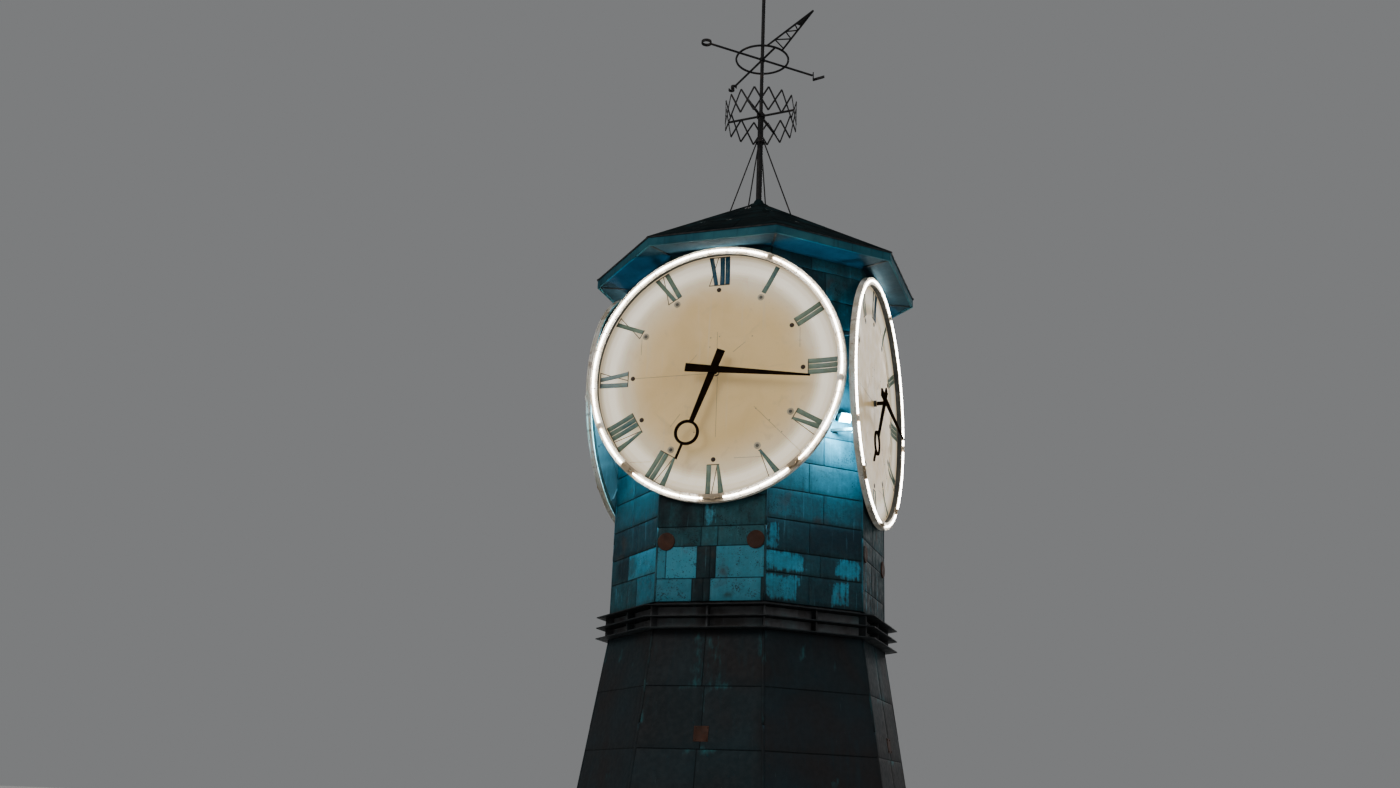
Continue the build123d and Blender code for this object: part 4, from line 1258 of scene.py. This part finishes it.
# Bolts of the stay feet, rivets of the crown and the compass letters
mastParts = {
    "footDistance": 0.58,
    "footThickness": 0.010,
    "footReach": (0.027, 0.045),
    "footBolt": (0.013, 0.010),
    "crownRadius": 0.600,
    "crownPoints": 16,
    "crownTurn": -6,
    "rivet": (0.010, 0.006),
    "rivetLift": 0.003,
}
bm = bmesh.new()
footHeight = roofTop - (mastParts["footDistance"] - roofFlatApothem) * roofSlope
for angle in dialAngles.values():
    foot = facePlace(angle, mastParts["footDistance"], footHeight, 1 / roofSlope)
    addBolts(bm, foot, *mastParts["footReach"], mastParts["footThickness"], mastParts["footBolt"])
makePiece("footBolts", bm, [zincFinish], "painted_iron", sharp=35)

bm = bmesh.new()
crownStep = 360 / mastParts["crownPoints"]
crownHeight = middleHeight("mast_crown")
for index in range(mastParts["crownPoints"]):
    crossing = -90 + mastParts["crownTurn"] + crownStep * (index + 1)
    reach = mastParts["crownRadius"] * cos(radians(crownStep / 2))
    for side in (0, 180):
        turned = Matrix.Rotation(radians(side), 4, "Y") @ Matrix.Translation((0, 0, mastParts["rivetLift"]))
        addDome(bm, facePlace(crossing, reach, crownHeight) @ turned, *mastParts["rivet"], 10)
makePiece("crownRivets", bm, [ironFinish], "painted_iron")

letters = {
    "bar": 0.020,
    "depth": 0.044,
    "ring": {"azimuth": -135, "distance": 1.060, "high": 0.172},
    "south": {"azimuth": 135, "distance": 1.070, "high": 0.197, "sweep": 250},
    "vee": {"azimuth": 45, "distance": 1.075, "leg": 0.215, "lean": 31, "drop": 0.022},
}


def letterPlace(letter):
    # letters lie flat with their tops to the north, where the pointer points
    turn = radians(letter["azimuth"])
    slant = sin(radians(45))
    flat = Matrix(((-slant, slant, 0), (-slant, -slant, 0), (0, 0, 1))).to_4x4()
    flat.translation = Vector((cos(turn), sin(turn), 0)) * letter["distance"]
    flat.translation.z = middleHeight("compass_cross")
    return flat


bar, deep = letters["bar"], letters["depth"]
barProfile = ((-bar / 2, -deep / 2), (bar / 2, -deep / 2), (bar / 2, deep / 2), (-bar / 2, deep / 2))
bm = bmesh.new()
addRing(bm, letterPlace(letters["ring"]), (letters["ring"]["high"] - bar) / 2, barProfile, steps=32)
# the second letter reads right from below
south = letters["south"]
bowl = (south["high"] - bar) / 4
for side in (1, -1):
    place = letterPlace(south) @ Matrix.Translation((0, side * bowl, 0))
    addRing(bm, place, bowl, barProfile, -90 * side, south["sweep"], 16)
vee = letters["vee"]
for side in (-1, 1):
    lean = side * radians(vee["lean"])
    place = letterPlace(vee) @ Matrix.Translation((vee["leg"] / 2 * sin(lean), -vee["drop"], 0))
    addBox(bm, place @ Matrix.Rotation(-lean, 4, "Z"), (bar, vee["leg"], deep))
makePiece("compassLetters", bm, [ironFinish], "painted_iron", sharp=35, heal=True)
print("mast fittings made")

# Kerb blocks with open joints, in place of the plain ring
kerb = {"blocks": 2, "joint": 0.008, "bevel": 0.012, "wall": 0.200}
bm = bmesh.new()
for angle in faceAngles.values():
    for block in range(kerb["blocks"]):
        made = bmesh.ops.create_cube(bm, size=1)["verts"]
        for vert in made:
            left = vert.co.x < 0
            share = -1 + 2 * (block if left else block + 1) / kerb["blocks"]
            apothem = -kerbLow.y if vert.co.z > 0 else shaftFootApothem - kerb["wall"]
            gap = kerb["joint"] / 2 * (1 if left else -1)
            level = kerbHigh.z if vert.co.y > 0 else kerbLow.z
            vert.co = facePlace(angle) @ Vector((share * apothem * sideShare + gap, level, apothem))
        bm.normal_update()
        bevelEdges(bm, edgesOf(made), kerb["bevel"], 3)
blocks = makePiece("kerbBlocks", bm, [kerbFinish], "stone_kerb", sharp=40, heal=True)
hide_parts("base_kerb")
print("kerb laid")


# Studio: pale floor, soft lights, and a camera where the photo was taken from

def addObject(name, data, place):
    made = bpy.data.objects.new(name, data)
    made.location = place
    bpy.context.scene.collection.objects.link(made)
    return made


def addLight(name, kind, place, power, colour):
    light = bpy.data.lights.new(name, kind)
    light.energy = power
    light.color = colour
    return addObject(name, light, place)


studio = {
    "sky": (0.53, 0.54, 0.55),
    "skyPower": 0.38,
    "floorRadius": 400.0,
    "floorSides": 128,
    "floorTones": ((0.3, (0.62, 0.62, 0.61)), (0.7, (0.64, 0.64, 0.63))),
    "aim": (0, 0, 7),
    "softness": 28,
    "suns": (((-14, -22, 20), 0.90, (1.0, 0.98, 0.95)), ((20, -14, 12), 0.45, (0.96, 0.98, 1.0)),
             ((2, 24, 18), 0.65, (1.0, 1.0, 1.0))),
}
world = bpy.data.worlds.new("studioSky")
world.use_nodes = True
background = world.node_tree.nodes["Background"]
background.inputs["Color"].default_value = (*studio["sky"], 1)
background.inputs["Strength"].default_value = studio["skyPower"]
bpy.context.scene.world = world
for index, (place, power, colour) in enumerate(studio["suns"]):
    sun = addLight(f"studioSun_{index}", "SUN", place, power, colour)
    sun.data.angle = radians(studio["softness"])
    sun.rotation_euler = (Vector(studio["aim"]) - Vector(place)).to_track_quat("-Z", "Y").to_euler()

# what the four floodlights throw on the walls behind the dials
lampGlow = {"offset": 0.400, "height": 6.84, "stand": 0.30, "radius": 0.08, "power": 310,
            "colour": (0.22, 0.72, 1.0)}
for face, angle in lampAngles.items():
    place = facePlace(angle, drumApothem + lampGlow["stand"], lampGlow["height"], offset=lampGlow["offset"])
    lamp = addLight(f"lampGlow_{face}", "POINT", place.translation, lampGlow["power"], lampGlow["colour"])
    lamp.data.shadow_soft_size = lampGlow["radius"]

bm = bmesh.new()
bmesh.ops.create_circle(bm, cap_ends=True, segments=studio["floorSides"], radius=studio["floorRadius"])
floorMesh = bpy.data.meshes.new("studioFloor")
bm.to_mesh(floorMesh)
bm.free()
floorFinish = Finish("studioFloor")
floorColour = floorFinish.ramp(floorFinish.cloud(0.6), *studio["floorTones"])
floorMesh.materials.append(floorFinish.close(floorColour, 0.8))
addObject("studioFloor", floorMesh, (0, 0, 0))

photoView = {
    "place": (5.557, -18.642, 1.61),
    "right": (0.9484, 0.3150, 0.0366),
    "up": (0.0617, -0.2964, 0.9531),
    "back": (0.3111, -0.9016, -0.3005),
    "lens": 33.63,
    "sensor": 36.0,
    "shift": -0.0005,
    "farthest": 1000,
}
cameraData = bpy.data.cameras.new("photoCamera")
cameraData.lens = photoView["lens"]
cameraData.sensor_width = photoView["sensor"]
cameraData.shift_x = photoView["shift"]
cameraData.clip_end = photoView["farthest"]
camera = addObject("photoCamera", cameraData, photoView["place"])
cameraAxes = Matrix((photoView["right"], photoView["up"], photoView["back"])).transposed()
camera.rotation_euler = cameraAxes.to_euler()
bpy.context.scene.camera = camera
print("studio set")

bpy.context.view_layer.update()
